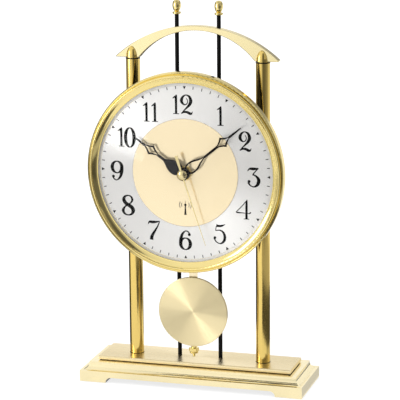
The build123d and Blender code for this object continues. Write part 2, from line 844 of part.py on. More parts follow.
with BuildPart() as motor_coils:
    core_y = dial_y - stator_back - stator_thickness / 2
    for side in (-1, 1):
        coil_middle = (side * rotor_x, core_y, dial_z + core_middle)
        core_room = 2 * fit_clearance
        with BuildSketch(Plane(origin=coil_middle, x_dir=(0, 1, 0), z_dir=(1, 0, 0))):
            Circle(coil_radius)
            Rectangle(stator_thickness + core_room, core_height + core_room, mode=Mode.SUBTRACT)
        extrude(amount=coil_length / 2, both=True)
keep(motor_coils, "motor_coils")

# Gears: straight-flanked teeth with generous backlash
addendum = 0.8
dedendum = 1.0
root_share = 0.25
tip_share = 0.13
tooth_sunk = 0.15


def toothed(teeth, module, back, thickness, at=(0, 0), phase=0.0):
    """A toothed wheel or pinion, with one tooth at the angle given by phase."""
    root = module * (teeth / 2 - dedendum)
    height = module * (addendum + dedendum)
    pitch = pi * module
    sunk = tooth_sunk * module
    flank = [(-sunk, -root_share * pitch), (height, -tip_share * pitch),
             (height, tip_share * pitch), (-sunk, root_share * pitch)]
    with BuildSketch(face(back)) as outline:
        with Locations(at):
            Circle(root)
            with PolarLocations(root, teeth, start_angle=phase):
                Polygon(*flank, align=None)
    extrude(outline.sketch, amount=thickness)


def meshing_phase(driver_at, driver_teeth, driver_phase, at, teeth):
    """The phase that puts a tooth gap of this gear against a tooth of its driver."""
    bearing = degrees(atan2(at[1] - driver_at[1], at[0] - driver_at[0]))
    driver_share = (bearing - driver_phase) * driver_teeth / 360
    return bearing + 180 - (0.5 - driver_share) * 360 / teeth


centre = (0, 0)
wheel_hub_radius = 1.5
idler_hub_radius = 1.1
rotor_hub_radius = 0.9
hub_proud = 0.4
second_arbor_tail = 0.8
second_arbor_tip = second_ahead + second_arbor_proud
pinion_thickness = wheel_thickness + 2 * pinion_proud
pin_bore = train_pin_radius + running_clearance
motion_phase = meshing_phase(centre, pinion_teeth, 0, motion_place, motion_teeth)
hour_phase = meshing_phase(motion_place, pinion_teeth, 0, centre, hour_teeth)

with BuildPart() as hour_wheel:
    tube_front = hour_ahead + hand_thickness + tube_proud
    toothed(hour_teeth, hour_module, hour_layer, wheel_thickness, centre, hour_phase)
    disc(hour_tube_radius, hour_layer, tube_front)
    disc(minute_tube_radius + running_clearance, hour_layer, tube_front, mode=Mode.SUBTRACT)
keep(hour_wheel, "hour_wheel")

with BuildPart() as minute_wheel:
    tube_front = minute_ahead + hand_thickness + tube_proud
    tube_back = minute_layer - tube_proud
    disc(minute_tube_radius, tube_back, tube_front)
    toothed(hand_wheel_teeth, hand_wheel_module, minute_layer, wheel_thickness)
    toothed(pinion_teeth, motion_module, motion_layer - pinion_proud, pinion_thickness)
    disc(second_arbor_radius + running_clearance, tube_back, tube_front, mode=Mode.SUBTRACT)
keep(minute_wheel, "minute_wheel")

with BuildPart() as second_wheel:
    disc(second_arbor_radius, second_idler_layer - second_arbor_tail, second_arbor_tip)
    disc(wheel_hub_radius, second_layer - hub_proud, second_layer + wheel_thickness + hub_proud)
    toothed(hand_wheel_teeth, hand_wheel_module, second_layer, wheel_thickness)
keep(second_wheel, "second_wheel")

with BuildPart() as motion_wheel:
    toothed(motion_teeth, motion_module, motion_layer, wheel_thickness, motion_place, motion_phase)
    toothed(pinion_teeth, hour_module, hour_layer - pinion_proud, pinion_thickness, motion_place)
    disc(wheel_hub_radius, motion_layer, hour_layer - pinion_proud, motion_place)
    disc(pin_bore, motion_layer, hour_layer + pinion_thickness, motion_place, Mode.SUBTRACT)
keep(motion_wheel, "motion_wheel")

drives = (
    ("minute", minute_layer, minute_idler_layer, minute_idler_place, minute_rotor_place),
    ("second", second_layer, second_idler_layer, second_idler_place, second_rotor_place),
)
idler_wheel_thickness = 0.8
for name, wheel_layer, idler_layer, idler_place, rotor_place in drives:
    idler_phase = meshing_phase(centre, hand_wheel_teeth, 0, idler_place, pinion_teeth)
    rotor_phase = meshing_phase(idler_place, idler_teeth, 0, rotor_place, pinion_teeth)
    pinion_layer = wheel_layer - pinion_proud
    with BuildPart() as idler:
        toothed(pinion_teeth, hand_wheel_module, pinion_layer, pinion_thickness, idler_place, idler_phase)
        toothed(idler_teeth, idler_module, idler_layer, idler_wheel_thickness, idler_place)
        disc(idler_hub_radius, idler_layer, pinion_layer, idler_place)
        disc(pin_bore, idler_layer, pinion_layer + pinion_thickness, idler_place, Mode.SUBTRACT)
    keep(idler, f"{name}_idler")

    rotor_pinion_layer = idler_layer - pinion_proud
    rotor_pinion_thickness = idler_wheel_thickness + 2 * pinion_proud
    rotor_back = min(rotor_pinion_layer, magnet_layer)
    rotor_front = max(rotor_pinion_layer + rotor_pinion_thickness, magnet_layer + magnet_thickness)
    with BuildPart() as rotor:
        thickness = rotor_pinion_thickness
        toothed(pinion_teeth, idler_module, rotor_pinion_layer, thickness, rotor_place, rotor_phase)
        disc(rotor_hub_radius, rotor_back, rotor_front, rotor_place)
        disc(rotor_radius, magnet_layer, magnet_layer + magnet_thickness, rotor_place)
        disc(pin_bore, rotor_back, rotor_front, rotor_place, Mode.SUBTRACT)
    keep(rotor, f"{name}_rotor")

# Fixed arbors: a shoulder below each wheel and a thin pivot through it
shoulder_gap = 0.15
arbors = [
    (motion_place, hour_layer + pinion_thickness - pinion_proud, motion_layer),
    (minute_idler_place, minute_layer + wheel_thickness + pinion_proud, minute_idler_layer),
    (second_idler_place, second_layer + wheel_thickness + pinion_proud, second_idler_layer),
    (minute_rotor_place, minute_idler_layer + idler_wheel_thickness + pinion_proud, magnet_layer),
    (second_rotor_place, magnet_layer + magnet_thickness, second_idler_layer - pinion_proud),
]
with BuildPart() as train_arbors:
    for place, front, back in arbors:
        disc(train_shoulder_radius, front + shoulder_gap, box_floor + arbor_sunk, place)
        disc(train_pin_radius, back - hub_proud, front + shoulder_gap, place)
keep(train_arbors, "train_arbors")

# Push buttons in the movement's back cover
for name, place in button_places.items():
    with BuildPart() as button:
        cap_front = cover_back - button_travel - 2 * fit_clearance
        collar_back = box_back + 2 * fit_clearance
        stem_front = box_back + button_stem_inside
        disc(button_cap_radius, cap_front - button_cap_thickness, cap_front, place)
        disc(button_stem_radius, cap_front, stem_front, place)
        disc(button_stem_radius + button_collar, collar_back, (collar_back + stem_front) / 2, place)
    keep(button, name)

# Hands: pierced outlines cut from sheets bent to follow the domed glass
diamond_sag = 0.12
leaf_tip_direction = (-0.12, 1)


def sheet(ahead, thickness, reach, width):
    """Keep what lies in a thin sheet that bends towards the dial away from the axis."""
    side_plane = Plane(origin=(0, dial_y, dial_z), x_dir=(0, 0, 1), z_dir=(1, 0, 0))
    drop = reach**2 / (2 * hand_bend_radius)
    with BuildSketch(side_plane) as bend:
        with BuildLine():
            front = ahead + thickness
            ThreePointArc((-reach, ahead - drop), (0, ahead), (reach, ahead - drop))
            Line((reach, ahead - drop), (reach, front - drop))
            ThreePointArc((reach, front - drop), (0, front), (-reach, front - drop))
            Line((-reach, front - drop), (-reach, ahead - drop))
        make_face()
    extrude(bend.sketch, amount=width, both=True, mode=Mode.INTERSECT)


def lozenge(start, middle, end, half_width, mode=Mode.ADD):
    """A diamond with hollow sides, between two points on the hand's centre line."""
    sag = diamond_sag * half_width
    with BuildSketch() as outline:
        with BuildLine():
            side = (half_width, middle)
            low_bow = (half_width / 2 - sag, (start + middle) / 2 + sag)
            high_bow = (half_width / 2 - sag, (middle + end) / 2 - sag)
            ThreePointArc((0, start), low_bow, side)
            ThreePointArc(side, high_bow, (0, end))
            mirror(about=Plane.YZ)
        make_face()
    add(outline.sketch, mode=mode)


def leaf(start, widest, end, half_width, mode=Mode.ADD):
    """A drop-shaped leaf, round towards the hub and drawn out to a point."""
    with BuildSketch() as outline:
        with BuildLine():
            Spline((0, start), (half_width, widest), (0, end), tangents=((1, 0), leaf_tip_direction))
            mirror(about=Plane.YZ)
        make_face()
    add(outline.sketch, mode=mode)


def taper(start, end, start_half, end_half):
    """A straight tapering stretch of a hand."""
    with BuildSketch() as outline:
        Polygon((-start_half, start), (start_half, start), (end_half, end), (-end_half, end), align=None)
    add(outline.sketch)


diamond_inset = 2.7
leaf_frame_root = 1.4
leaf_frame_tip = 4.5

with BuildPart() as hour_hand:
    with BuildSketch(face(0)):
        leaf_end = hour_leaf_share * hour_length
        stem_start, stem_end = (share * hour_length for share in hour_stem_shares)
        diamond = [share * hour_length for share in hour_diamond_shares]
        window = (diamond[0] + diamond_inset, diamond[1], diamond[2] - diamond_inset)
        leaf(hour_tube_radius, leaf_widest, leaf_end, hour_leaf_half)
        taper(stem_start, stem_end, hour_stem, hour_stem)
        lozenge(*diamond, hour_diamond_half)
        taper(hour_tip_share * hour_length, hour_length, hour_stem, hand_tip_half)
        lozenge(*window, hour_diamond_half - diamond_frame, Mode.SUBTRACT)
        Circle(hand_hub_radius)
        Circle(hour_tube_radius, mode=Mode.SUBTRACT)
    extrude(amount=minute_ahead)
    sheet(hour_ahead, hand_thickness, hour_length + 1, hour_length / 2)
hour_hand.part = hour_hand.part.rotate(dial_axis, -hour_angle)
keep(hour_hand, "hour_hand")

with BuildPart() as minute_hand:
    with BuildSketch(face(0)):
        leaf_end = minute_leaf_share * minute_length
        stem_start, stem_end = (share * minute_length for share in minute_stem_shares)
        diamond = [share * minute_length for share in minute_diamond_shares]
        window = (diamond[0] + diamond_inset, diamond[1], diamond[2] - diamond_inset)
        leaf_start = bush_radius
        loop_start = leaf_start + leaf_frame_root
        loop_end = leaf_end - leaf_frame_tip
        leaf(leaf_start, leaf_widest, leaf_end, minute_leaf_half)
        leaf(loop_start, leaf_widest, loop_end, minute_leaf_half - minute_leaf_frame, Mode.SUBTRACT)
        taper(stem_start, stem_end, minute_stem, minute_stem)
        lozenge(*diamond, minute_diamond_half)
        taper(minute_tip_share * minute_length, minute_length, minute_stem, hand_tip_half)
        lozenge(*window, minute_diamond_half - diamond_frame, Mode.SUBTRACT)
        Circle(hand_hub_radius)
        Circle(minute_tube_radius, mode=Mode.SUBTRACT)
    extrude(amount=second_ahead)
    sheet(minute_ahead, hand_thickness, minute_length + 1, minute_length / 2)
minute_hand.part = minute_hand.part.rotate(dial_axis, -minute_angle)
keep(minute_hand, "minute_hand")

with BuildPart() as second_hand:
    boss_back = second_ahead - second_boss_sunk
    boss_wall = second_ahead + second_boss_wall
    boss_front = second_ahead + second_boss_height
    boss_sag = boss_front - boss_wall
    boss_curve = (second_boss_radius**2 + boss_sag**2) / (2 * boss_sag)
    boss_half = second_boss_radius / 2
    boss_bow = (boss_half, boss_front - boss_curve + sqrt(boss_curve**2 - boss_half**2))
    with BuildSketch(face(0)):
        taper(0, second_length, needle_half, needle_tip_half)
        taper(-second_tail, 0, tail_half, needle_half)
        Circle(second_boss_radius)
    extrude(amount=2 * second_ahead)
    sheet(second_ahead, needle_thickness, second_length + 1, second_length / 2)
    with BuildSketch(dial_section) as boss:
        with BuildLine():
            Polyline((0, boss_front), (0, boss_back), (second_boss_radius, boss_back),
                     (second_boss_radius, boss_wall))
            ThreePointArc((second_boss_radius, boss_wall), boss_bow, (0, boss_front))
        make_face()
    revolve(boss.sketch, axis=dial_axis)
    disc(second_arbor_radius, boss_back, second_arbor_tip, mode=Mode.SUBTRACT)
second_hand.part = second_hand.part.rotate(dial_axis, -second_angle)
keep(second_hand, "second_hand")

# Pendulum: a pivot pin on the movement's back, a lever, a strip, the bob and its nut
with BuildPart() as pivot_pin:
    lever_back = -lever_behind - lever_thickness
    cap_front = lever_back - pivot_play
    cap_back = cap_front - pivot_cap_thickness
    disc(pivot_pin_radius, cap_back, box_back, pivot_place)
    disc(pivot_pin_radius + pivot_collar, -lever_behind + pivot_play, cover_back, pivot_place)
    disc(pivot_pin_radius + pivot_collar, cap_back, cap_front, pivot_place)
keep(pivot_pin, "pivot_pin")

drive_place = (0, -drive_drop)
hang_place = (0, -hang_drop)
strip_front = lever_back - strip_gap
strip_back = strip_front - strip_thickness
strip_y = dial_y - (strip_front + strip_back) / 2
nut_top = plate_top + rating_nut_room + rating_nut_length
bob_z = nut_top + end_gap + bob_radius
bob_drop = dial_z - bob_z

with BuildPart() as drive_coil:
    coil_back = box_back + fit_clearance
    disc(drive_coil_radius, coil_back, coil_back + drive_coil_thickness, drive_place)
    disc(drive_coil_bore, coil_back, coil_back + drive_coil_thickness, drive_place, Mode.SUBTRACT)
keep(drive_coil, "drive_coil")

with BuildPart() as pendulum_lever:
    with BuildSketch(face(lever_back)):
        with Locations(pivot_place):
            Circle(lever_eye_radius)
        with Locations((0, (pivot_height - hang_drop) / 2)):
            Rectangle(lever_width, pivot_height + hang_drop)
        with Locations(drive_place):
            Circle(drive_magnet_radius + lever_thickness)
        with Locations(hang_place):
            Circle(lever_width / 2)
        with Locations(pivot_place):
            Circle(pivot_pin_radius + running_clearance, mode=Mode.SUBTRACT)
    extrude(amount=lever_thickness)
    head_front = strip_back - strip_gap
    disc(hang_stud_radius, head_front - hang_head, lever_back, hang_place)
    disc(hang_stud_radius + hang_head, head_front - hang_head, head_front, hang_place)
keep(pendulum_lever, "pendulum_lever")

with BuildPart() as drive_magnet:
    disc(drive_magnet_radius, -lever_behind, -lever_behind + drive_magnet_thickness, drive_place)
keep(drive_magnet, "drive_magnet")

with BuildPart() as pendulum_strip:
    strip_low = bob_z - dial_z - strip_share * bob_radius
    with BuildSketch(face(strip_back)):
        with Locations((0, (strip_low - hang_drop) / 2)):
            SlotOverall(-hang_drop - strip_low + strip_width, strip_width, rotation=90)
        with Locations(hang_place):
            Circle(hang_stud_radius + fit_clearance, mode=Mode.SUBTRACT)
    extrude(amount=strip_thickness)
    thread_length = dial_z + strip_low - nut_top
    post(rating_thread_radius, thread_length + rating_thread_grip, (0, strip_y, nut_top - rating_thread_grip))
keep(pendulum_strip, "pendulum_strip")

with BuildPart() as pendulum_bob:
    bob_back = strip_front + fit_clearance
    disc(bob_radius, bob_back, bob_back + bob_thickness, (0, -bob_drop))
    chamfer(pendulum_bob.edges(), edge_break)
    post(rating_thread_radius + fit_clearance, thread_length, (0, strip_y, nut_top), Mode.SUBTRACT)
keep(pendulum_bob, "pendulum_bob")

with BuildPart() as rating_nut:
    with BuildSketch(upright_section(0, strip_y)):
        with BuildLine():
            nut_low = nut_top - rating_nut_length
            fluted_top = nut_top - rating_nut_collar
            fluted_low = fluted_top - rating_band_height
            fluted_inner = rating_nut_radius - rating_nut_break
            nut_groove = (rating_bead_radius - rating_groove, fluted_low)
            bead = (rating_bead_radius, fluted_low - rating_groove)
            tip_waist = (rating_tip_waist, nut_low + 2 * rating_tip_radius - rating_groove)
            Polyline(
                (0, tip_waist[1]),
                (0, nut_top),
                (rating_nut_neck, nut_top),
                (rating_nut_neck, fluted_top),
                (fluted_inner, fluted_top),
                (rating_nut_radius, fluted_top - rating_nut_break),
                (rating_nut_radius, fluted_low + rating_nut_break),
                (fluted_inner, fluted_low),
                nut_groove,
                bead,
            )
            Spline(bead, tip_waist, tangents=((0.2, -1), (-0.6, -1)))
            Line(tip_waist, (0, tip_waist[1]))
        make_face()
    revolve(axis=Axis((0, strip_y, 0), (0, 0, 1)))
    with Locations((0, strip_y, nut_low + rating_tip_radius)):
        Sphere(rating_tip_radius)
    with Locations((0, strip_y, (fluted_top + fluted_low) / 2)):
        with PolarLocations(rating_nut_radius, flute_count):
            Cylinder(flute_radius, rating_band_height, mode=Mode.SUBTRACT)
    nut_bore = rating_thread_grip + end_gap
    post(rating_thread_radius + fit_clearance, nut_bore, (0, strip_y, nut_top - nut_bore), Mode.SUBTRACT)
keep(rating_nut, "rating_nut")
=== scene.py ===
"""Desk pendulum clock: materials, dial print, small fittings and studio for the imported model."""
import math

import bmesh
import bpy
from mathutils import Matrix, Vector


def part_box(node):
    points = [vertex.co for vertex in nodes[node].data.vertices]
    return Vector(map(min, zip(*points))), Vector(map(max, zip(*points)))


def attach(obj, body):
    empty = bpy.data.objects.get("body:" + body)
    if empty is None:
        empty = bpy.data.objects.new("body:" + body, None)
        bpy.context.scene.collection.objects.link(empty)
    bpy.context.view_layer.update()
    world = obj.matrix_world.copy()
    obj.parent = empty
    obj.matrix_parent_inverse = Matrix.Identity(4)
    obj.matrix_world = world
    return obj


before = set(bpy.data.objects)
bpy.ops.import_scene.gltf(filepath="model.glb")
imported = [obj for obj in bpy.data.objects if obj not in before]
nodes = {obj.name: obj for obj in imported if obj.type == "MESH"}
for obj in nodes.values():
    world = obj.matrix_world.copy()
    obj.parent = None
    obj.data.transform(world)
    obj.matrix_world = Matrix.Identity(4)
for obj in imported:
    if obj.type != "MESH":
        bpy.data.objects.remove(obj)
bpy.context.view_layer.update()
MM = 0.001
RIGHTWARD = (1, 0, 0)
BACKWARD = (0, 1, 0)
UPWARD = (0, 0, 1)
DOWNWARD = (0, 0, -1)


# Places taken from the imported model


def middle(node):
    """The centre of a node's box."""
    low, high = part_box(node)
    return (Vector(low) + Vector(high)) / 2


def span(node):
    """The size of a node's box."""
    low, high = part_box(node)
    return Vector(high) - Vector(low)


dial_middle = middle("dial_plate")
dial_face = Vector(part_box("dial_plate")[0]).y


def on_dial(x, z, ahead):
    """A point given in millimetres right of, above and ahead of the dial's centre."""
    return Vector((dial_middle.x + x * MM, dial_face - ahead * MM, dial_middle.z + z * MM))


def direction(azimuth, elevation):
    """A way out from the clock, in degrees from its front towards its right, and degrees up."""
    a = math.radians(azimuth)
    e = math.radians(elevation)
    return Vector((math.sin(a) * math.cos(e), -math.cos(a) * math.cos(e), math.sin(e)))


# Helpers for objects and nodes


def add_object(name, data):
    made = bpy.data.objects.new(name, data)
    bpy.context.scene.collection.objects.link(made)
    return made


def build(name, mesh_maker, material):
    """An object whose mesh a bmesh builder makes."""
    mesh = bpy.data.meshes.new(name)
    bm = bmesh.new()
    mesh_maker(bm)
    bm.to_mesh(mesh)
    bm.free()
    mesh.materials.append(material)
    return add_object(name, mesh)


def add_node(tree, kind, **values):
    """A new node with its settings."""
    node = tree.nodes.new(kind)
    for key, value in values.items():
        setattr(node, key, value)
    return node


def set_inputs(node, **values):
    """Constants on a node's sockets; an underscore stands for a space in a socket's name."""
    for socket, value in values.items():
        node.inputs[socket.replace("_", " ")].default_value = value


# Camera: the photograph's viewing angle, in degrees

CAMERA_AZIMUTH = 16.41
CAMERA_ELEVATION = 12.46
CAMERA_ROLL = -0.425
# Millimetres to the camera's right, up and back from the middle of the base's foot
CAMERA_PLACE = Vector((0.208, 149.31, 1646.3))
SENSOR_WIDTH = 36.0
LENS = 177.25
CLIP_END = 50.0


def set_camera():
    azimuth = math.radians(CAMERA_AZIMUTH)
    roll = math.radians(CAMERA_ROLL)
    foot = Vector((0, middle("base_plinth").y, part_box("base_plinth")[0][2]))
    back = direction(CAMERA_AZIMUTH, CAMERA_ELEVATION)
    level_right = Vector((math.cos(azimuth), math.sin(azimuth), 0))
    level_up = back.cross(level_right)
    right = math.cos(roll) * level_right + math.sin(roll) * level_up
    up = math.cos(roll) * level_up - math.sin(roll) * level_right
    turn = Matrix((right, up, back)).transposed()
    place = foot + (turn @ CAMERA_PLACE) * MM
    data = bpy.data.cameras.new("camera")
    data.sensor_width = SENSOR_WIDTH
    data.lens = LENS
    data.clip_end = CLIP_END
    camera = add_object("camera", data)
    camera.matrix_world = Matrix.Translation(place) @ turn.to_4x4()
    bpy.context.scene.camera = camera


set_camera()


# Material helpers

# The part of a noise that is spread over a whole range of tones
NOISE_LOW = 0.3
NOISE_HIGH = 0.7
RING_DETAIL = 4.0
# A face looks down where its normal's height is below this
FACING_DOWN = -0.02


class Surface:
    """A Principled material, with helpers for the detail its nodes add."""

    def __init__(self, name, color, **sockets):
        self.material = bpy.data.materials.new(name)
        self.material.use_nodes = True
        self.tree = self.material.node_tree
        self.shader = self.tree.nodes["Principled BSDF"]
        set_inputs(self.shader, Base_Color=(*color, 1), **sockets)

    def add(self, kind, **values):
        return add_node(self.tree, kind, **values)

    def link(self, out_socket, in_socket):
        self.tree.links.new(out_socket, in_socket)

    def place(self, scale):
        """Object coordinates in metres, stretched for grain."""
        coordinates = self.add("ShaderNodeTexCoord")
        mapping = self.add("ShaderNodeMapping")
        set_inputs(mapping, Scale=scale)
        self.link(coordinates.outputs["Object"], mapping.inputs["Vector"])
        return mapping.outputs["Vector"]

    def noise(self, scale, detail=3.0, stretch=(1, 1, 1)):
        texture = self.add("ShaderNodeTexNoise")
        set_inputs(texture, Scale=scale, Detail=detail)
        self.link(self.place(stretch), texture.inputs["Vector"])
        return texture.outputs["Fac"]

    def rings(self, centre, frequency):
        """Noise that changes only with the distance from an axis along Y."""
        coordinates = self.add("ShaderNodeTexCoord")
        shift = self.add("ShaderNodeVectorMath", operation="SUBTRACT")
        shift.inputs[1].default_value = centre
        flat = self.add("ShaderNodeVectorMath", operation="MULTIPLY")
        flat.inputs[1].default_value = (1, 0, 1)
        length = self.add("ShaderNodeVectorMath", operation="LENGTH")
        texture = self.add("ShaderNodeTexNoise", noise_dimensions="1D")
        set_inputs(texture, Scale=frequency, Detail=RING_DETAIL)
        self.link(coordinates.outputs["Object"], shift.inputs[0])
        self.link(shift.outputs["Vector"], flat.inputs[0])
        self.link(flat.outputs["Vector"], length.inputs[0])
        self.link(length.outputs["Value"], texture.inputs["W"])
        return texture.outputs["Fac"]

    def tint(self, source, dark, light):
        """Colour between two tones, by a number socket."""
        mix = self.add("ShaderNodeValToRGB")
        stops = ((NOISE_LOW, dark), (NOISE_HIGH, light))
        for element, (position, tone) in zip(mix.color_ramp.elements, stops):
            element.position = position
            element.color = (*tone, 1)
        self.link(source, mix.inputs["Fac"])
        self.link(mix.outputs["Color"], self.shader.inputs["Base Color"])

    def rough(self, source, low, high):
        """Roughness between two values, by a number socket."""
        spread = self.add("ShaderNodeMapRange")
        set_inputs(spread, From_Min=NOISE_LOW, From_Max=NOISE_HIGH, To_Min=low, To_Max=high)
        self.link(source, spread.inputs["Value"])
        self.link(spread.outputs["Result"], self.shader.inputs["Roughness"])

    def bump(self, source, depth, strength):
        bump = self.add("ShaderNodeBump")
        set_inputs(bump, Strength=strength, Distance=depth)
        self.link(source, bump.inputs["Height"])
        self.link(bump.outputs["Normal"], self.shader.inputs["Normal"])

    def painted_shade_below(self, height, dark):
        """Painted shade: a dark tone on the faces that look down, below a height in metres."""
        place = self.add("ShaderNodeTexCoord")
        spot = self.add("ShaderNodeSeparateXYZ")
        facing = self.add("ShaderNodeSeparateXYZ")
        low = self.add("ShaderNodeMath", operation="LESS_THAN")
        low.inputs[1].default_value = height
        down = self.add("ShaderNodeMath", operation="LESS_THAN")
        down.inputs[1].default_value = FACING_DOWN
        both = self.add("ShaderNodeMath", operation="MULTIPLY")
        mix = self.add("ShaderNodeMix", data_type="RGBA")
        color = self.shader.inputs["Base Color"]
        polished = color.links[0].from_socket
        set_inputs(mix, B=(*dark, 1))
        self.link(place.outputs["Object"], spot.inputs["Vector"])
        self.link(place.outputs["Normal"], facing.inputs["Vector"])
        self.link(spot.outputs["Z"], low.inputs[0])
        self.link(facing.outputs["Z"], down.inputs[0])
        self.link(low.outputs["Value"], both.inputs[0])
        self.link(down.outputs["Value"], both.inputs[1])
        self.link(both.outputs["Value"], mix.inputs["Factor"])
        self.link(polished, mix.inputs["A"])
        self.link(mix.outputs["Result"], color)

    def turned(self):
        """Grooves that run in circles round the piece's own middle, about Y."""
        tangent = self.add("ShaderNodeTangent", direction_type="RADIAL", axis="Y")
        self.link(tangent.outputs["Tangent"], self.shader.inputs["Tangent"])
        return self


def shade(tone, share):
    """A tone made darker or lighter."""
    return tuple(min(1.0, channel * share) for channel in tone)


def metal(name, tone, roughness, **sockets):
    return Surface(name, tone, Metallic=1.0, Roughness=roughness, **sockets)


# Materials

BRASS = (0.88, 0.72, 0.30)
PALE_BRASS = (0.93, 0.81, 0.50)
GOLD = (0.82, 0.60, 0.18)
PEACH = (0.97, 0.82, 0.54)
CHAMPAGNE = (0.95, 0.82, 0.56)
SILVER = (0.96, 0.95, 0.93)
# Under the base, below this height in metres, the brass's downward faces get painted shade, a dark tone
PAINTED_SHADE_HEIGHT = 0.006
PAINTED_SHADE_BRASS = (0.02, 0.016, 0.01)
# How much of the glass shows, seen straight on and aslant
GLASS_BLEND = 0.12
GLASS_LEAST = 0.004
GLASS_MOST = 0.45

bezel_brass = metal("bezel_brass", BRASS, 0.12)
bezel_brass.rough(bezel_brass.noise(60.0), 0.13, 0.17)
bezel_brass.tint(bezel_brass.noise(40.0), shade(BRASS, 0.95), shade(BRASS, 1.05))

base_brass = metal("base_brass", PALE_BRASS, 0.12)
base_brass.rough(base_brass.noise(220.0, stretch=(0.15, 1, 1)), 0.10, 0.18)
base_brass.tint(base_brass.noise(30.0), shade(PALE_BRASS, 0.95), shade(PALE_BRASS, 1.04))
# Painted shade on the base's underside: downward faces low down turn dark
base_brass.painted_shade_below(PAINTED_SHADE_HEIGHT, PAINTED_SHADE_BRASS)

plate_brass = metal("plate_brass", (0.94, 0.79, 0.48), 0.3, Anisotropic=0.7)
plate_grain = plate_brass.noise(2600.0, 4.0, stretch=(0.012, 1, 1))
plate_brass.rough(plate_grain, 0.24, 0.34)
plate_brass.bump(plate_grain, 0.00002, 0.35)

column_gold = metal("column_gold", GOLD, 0.16)
column_grain = column_gold.noise(3000.0, stretch=(1, 1, 0.01))
column_gold.rough(column_grain, 0.11, 0.16)
column_gold.bump(column_grain, 0.00001, 0.25)

arch_gold = metal("arch_gold", (0.98, 0.85, 0.48), 0.24)
arch_grain = arch_gold.noise(1800.0, stretch=(0.05, 1, 1))
arch_gold.rough(arch_grain, 0.20, 0.27)
arch_gold.bump(arch_grain, 0.00001, 0.12)

drum_black = Surface("drum_black", (0.006, 0.006, 0.006), Roughness=0.32, Specular_IOR_Level=0.3)
drum_grain = drum_black.noise(900.0, stretch=(1, 0.05, 1))
drum_black.rough(drum_grain, 0.27, 0.38)
drum_black.bump(drum_grain, 0.00001, 0.3)

bob_brass = metal("bob_brass", (0.97, 0.83, 0.50), 0.38, Anisotropic=1.0, Anisotropic_Rotation=0.25).turned()
bob_rings = bob_brass.rings(middle("pendulum_bob"), 5200.0)
bob_brass.rough(bob_rings, 0.33, 0.43)
bob_brass.bump(bob_rings, 0.000004, 0.3)

strip_brass = metal("strip_brass", CHAMPAGNE, 0.3)
strip_brass.rough(strip_brass.noise(2000.0, stretch=(1, 1, 0.02)), 0.25, 0.38)

finial_brass = metal("finial_brass", BRASS, 0.1)
finial_brass.rough(finial_brass.noise(600.0), 0.03, 0.07)

black_enamel = Surface("black_enamel", (0.004, 0.004, 0.004), Roughness=0.25, Specular_IOR_Level=0.1)
black_enamel.rough(black_enamel.noise(250.0), 0.2, 0.3)

hand_black = Surface("hand_black", (0.006, 0.005, 0.005), Roughness=0.32, Specular_IOR_Level=0.08)
hand_black.rough(hand_black.noise(700.0), 0.27, 0.38)

hour_black = Surface("hour_black", (0.012, 0.011, 0.012), Roughness=0.3, Specular_IOR_Level=0.25)
hour_black.rough(hour_black.noise(700.0), 0.25, 0.36)

needle_gold = metal("needle_gold", (0.74, 0.62, 0.32), 0.12)
needle_gold.rough(needle_gold.noise(900.0), 0.03, 0.08)

dial_silver = Surface("dial_silver", SILVER, Metallic=0.65, Roughness=0.4, Anisotropic=1.0,
                      Anisotropic_Rotation=0.25).turned()
dial_rings = dial_silver.rings(dial_middle, 4200.0)
dial_silver.rough(dial_rings, 0.36, 0.44)
dial_silver.bump(dial_rings, 0.000003, 0.2)

dial_champagne = Surface("dial_champagne", PEACH, Metallic=0.65, Roughness=0.18)
dial_champagne.rough(dial_champagne.noise(900.0), 0.17, 0.19)

reflector_brass = metal("reflector_brass", BRASS, 0.1)
reflector_brass.rough(reflector_brass.noise(300.0), 0.08, 0.14)

glass_clear = metal("glass_clear", (1, 1, 1), 0.03, Alpha=0.02)
glass_clear.rough(glass_clear.noise(60.0), 0.02, 0.04)
glass_gloss = glass_clear.add("ShaderNodeLayerWeight")
set_inputs(glass_gloss, Blend=GLASS_BLEND)
glass_share = glass_clear.add("ShaderNodeMapRange")
set_inputs(glass_share, To_Min=GLASS_LEAST, To_Max=GLASS_MOST)
glass_clear.link(glass_gloss.outputs["Fresnel"], glass_share.inputs["Value"])
glass_clear.link(glass_share.outputs["Result"], glass_clear.shader.inputs["Alpha"])

steel = metal("steel", (0.60, 0.60, 0.61), 0.3)
steel.rough(steel.noise(500.0), 0.22, 0.40)
steel.tint(steel.noise(120.0), (0.52, 0.52, 0.53), (0.66, 0.66, 0.67))

turned_brass = metal("turned_brass", BRASS, 0.28)
turned_brass.rough(turned_brass.noise(800.0, stretch=(1, 0.05, 1)), 0.2, 0.36)

black_plastic = Surface("black_plastic", (0.022, 0.022, 0.023), Roughness=0.5)
plastic_grain = black_plastic.noise(1500.0, 4.0)
black_plastic.rough(plastic_grain, 0.42, 0.58)
black_plastic.bump(plastic_grain, 0.00003, 0.5)

white_plastic = Surface("white_plastic", (0.82, 0.81, 0.77), Roughness=0.4)
white_plastic.rough(white_plastic.noise(900.0), 0.34, 0.48)

grey_plastic = Surface("grey_plastic", (0.30, 0.30, 0.31), Roughness=0.45)
grey_plastic.rough(grey_plastic.noise(900.0), 0.38, 0.52)

copper_wire = metal("copper_wire", (0.72, 0.33, 0.14), 0.3)
copper_wire.bump(copper_wire.noise(3500.0, 1.0, stretch=(1, 0.03, 0.03)), 0.0001, 0.8)

ferrite = Surface("ferrite", (0.045, 0.045, 0.05), Metallic=0.4, Roughness=0.55)
ferrite.rough(ferrite.noise(900.0), 0.48, 0.62)

board_green = Surface("board_green", (0.02, 0.16, 0.06), Roughness=0.35)
board_green.tint(board_green.noise(260.0, 2.0), (0.015, 0.13, 0.05), (0.03, 0.20, 0.08))

battery_jacket = Surface("battery_jacket", (0.05, 0.055, 0.07), Metallic=0.6, Roughness=0.3)
battery_jacket.rough(battery_jacket.noise(400.0), 0.24, 0.36)

copper_band = metal("copper_band", (0.80, 0.45, 0.20), 0.3)
copper_band.rough(copper_band.noise(500.0), 0.24, 0.36)

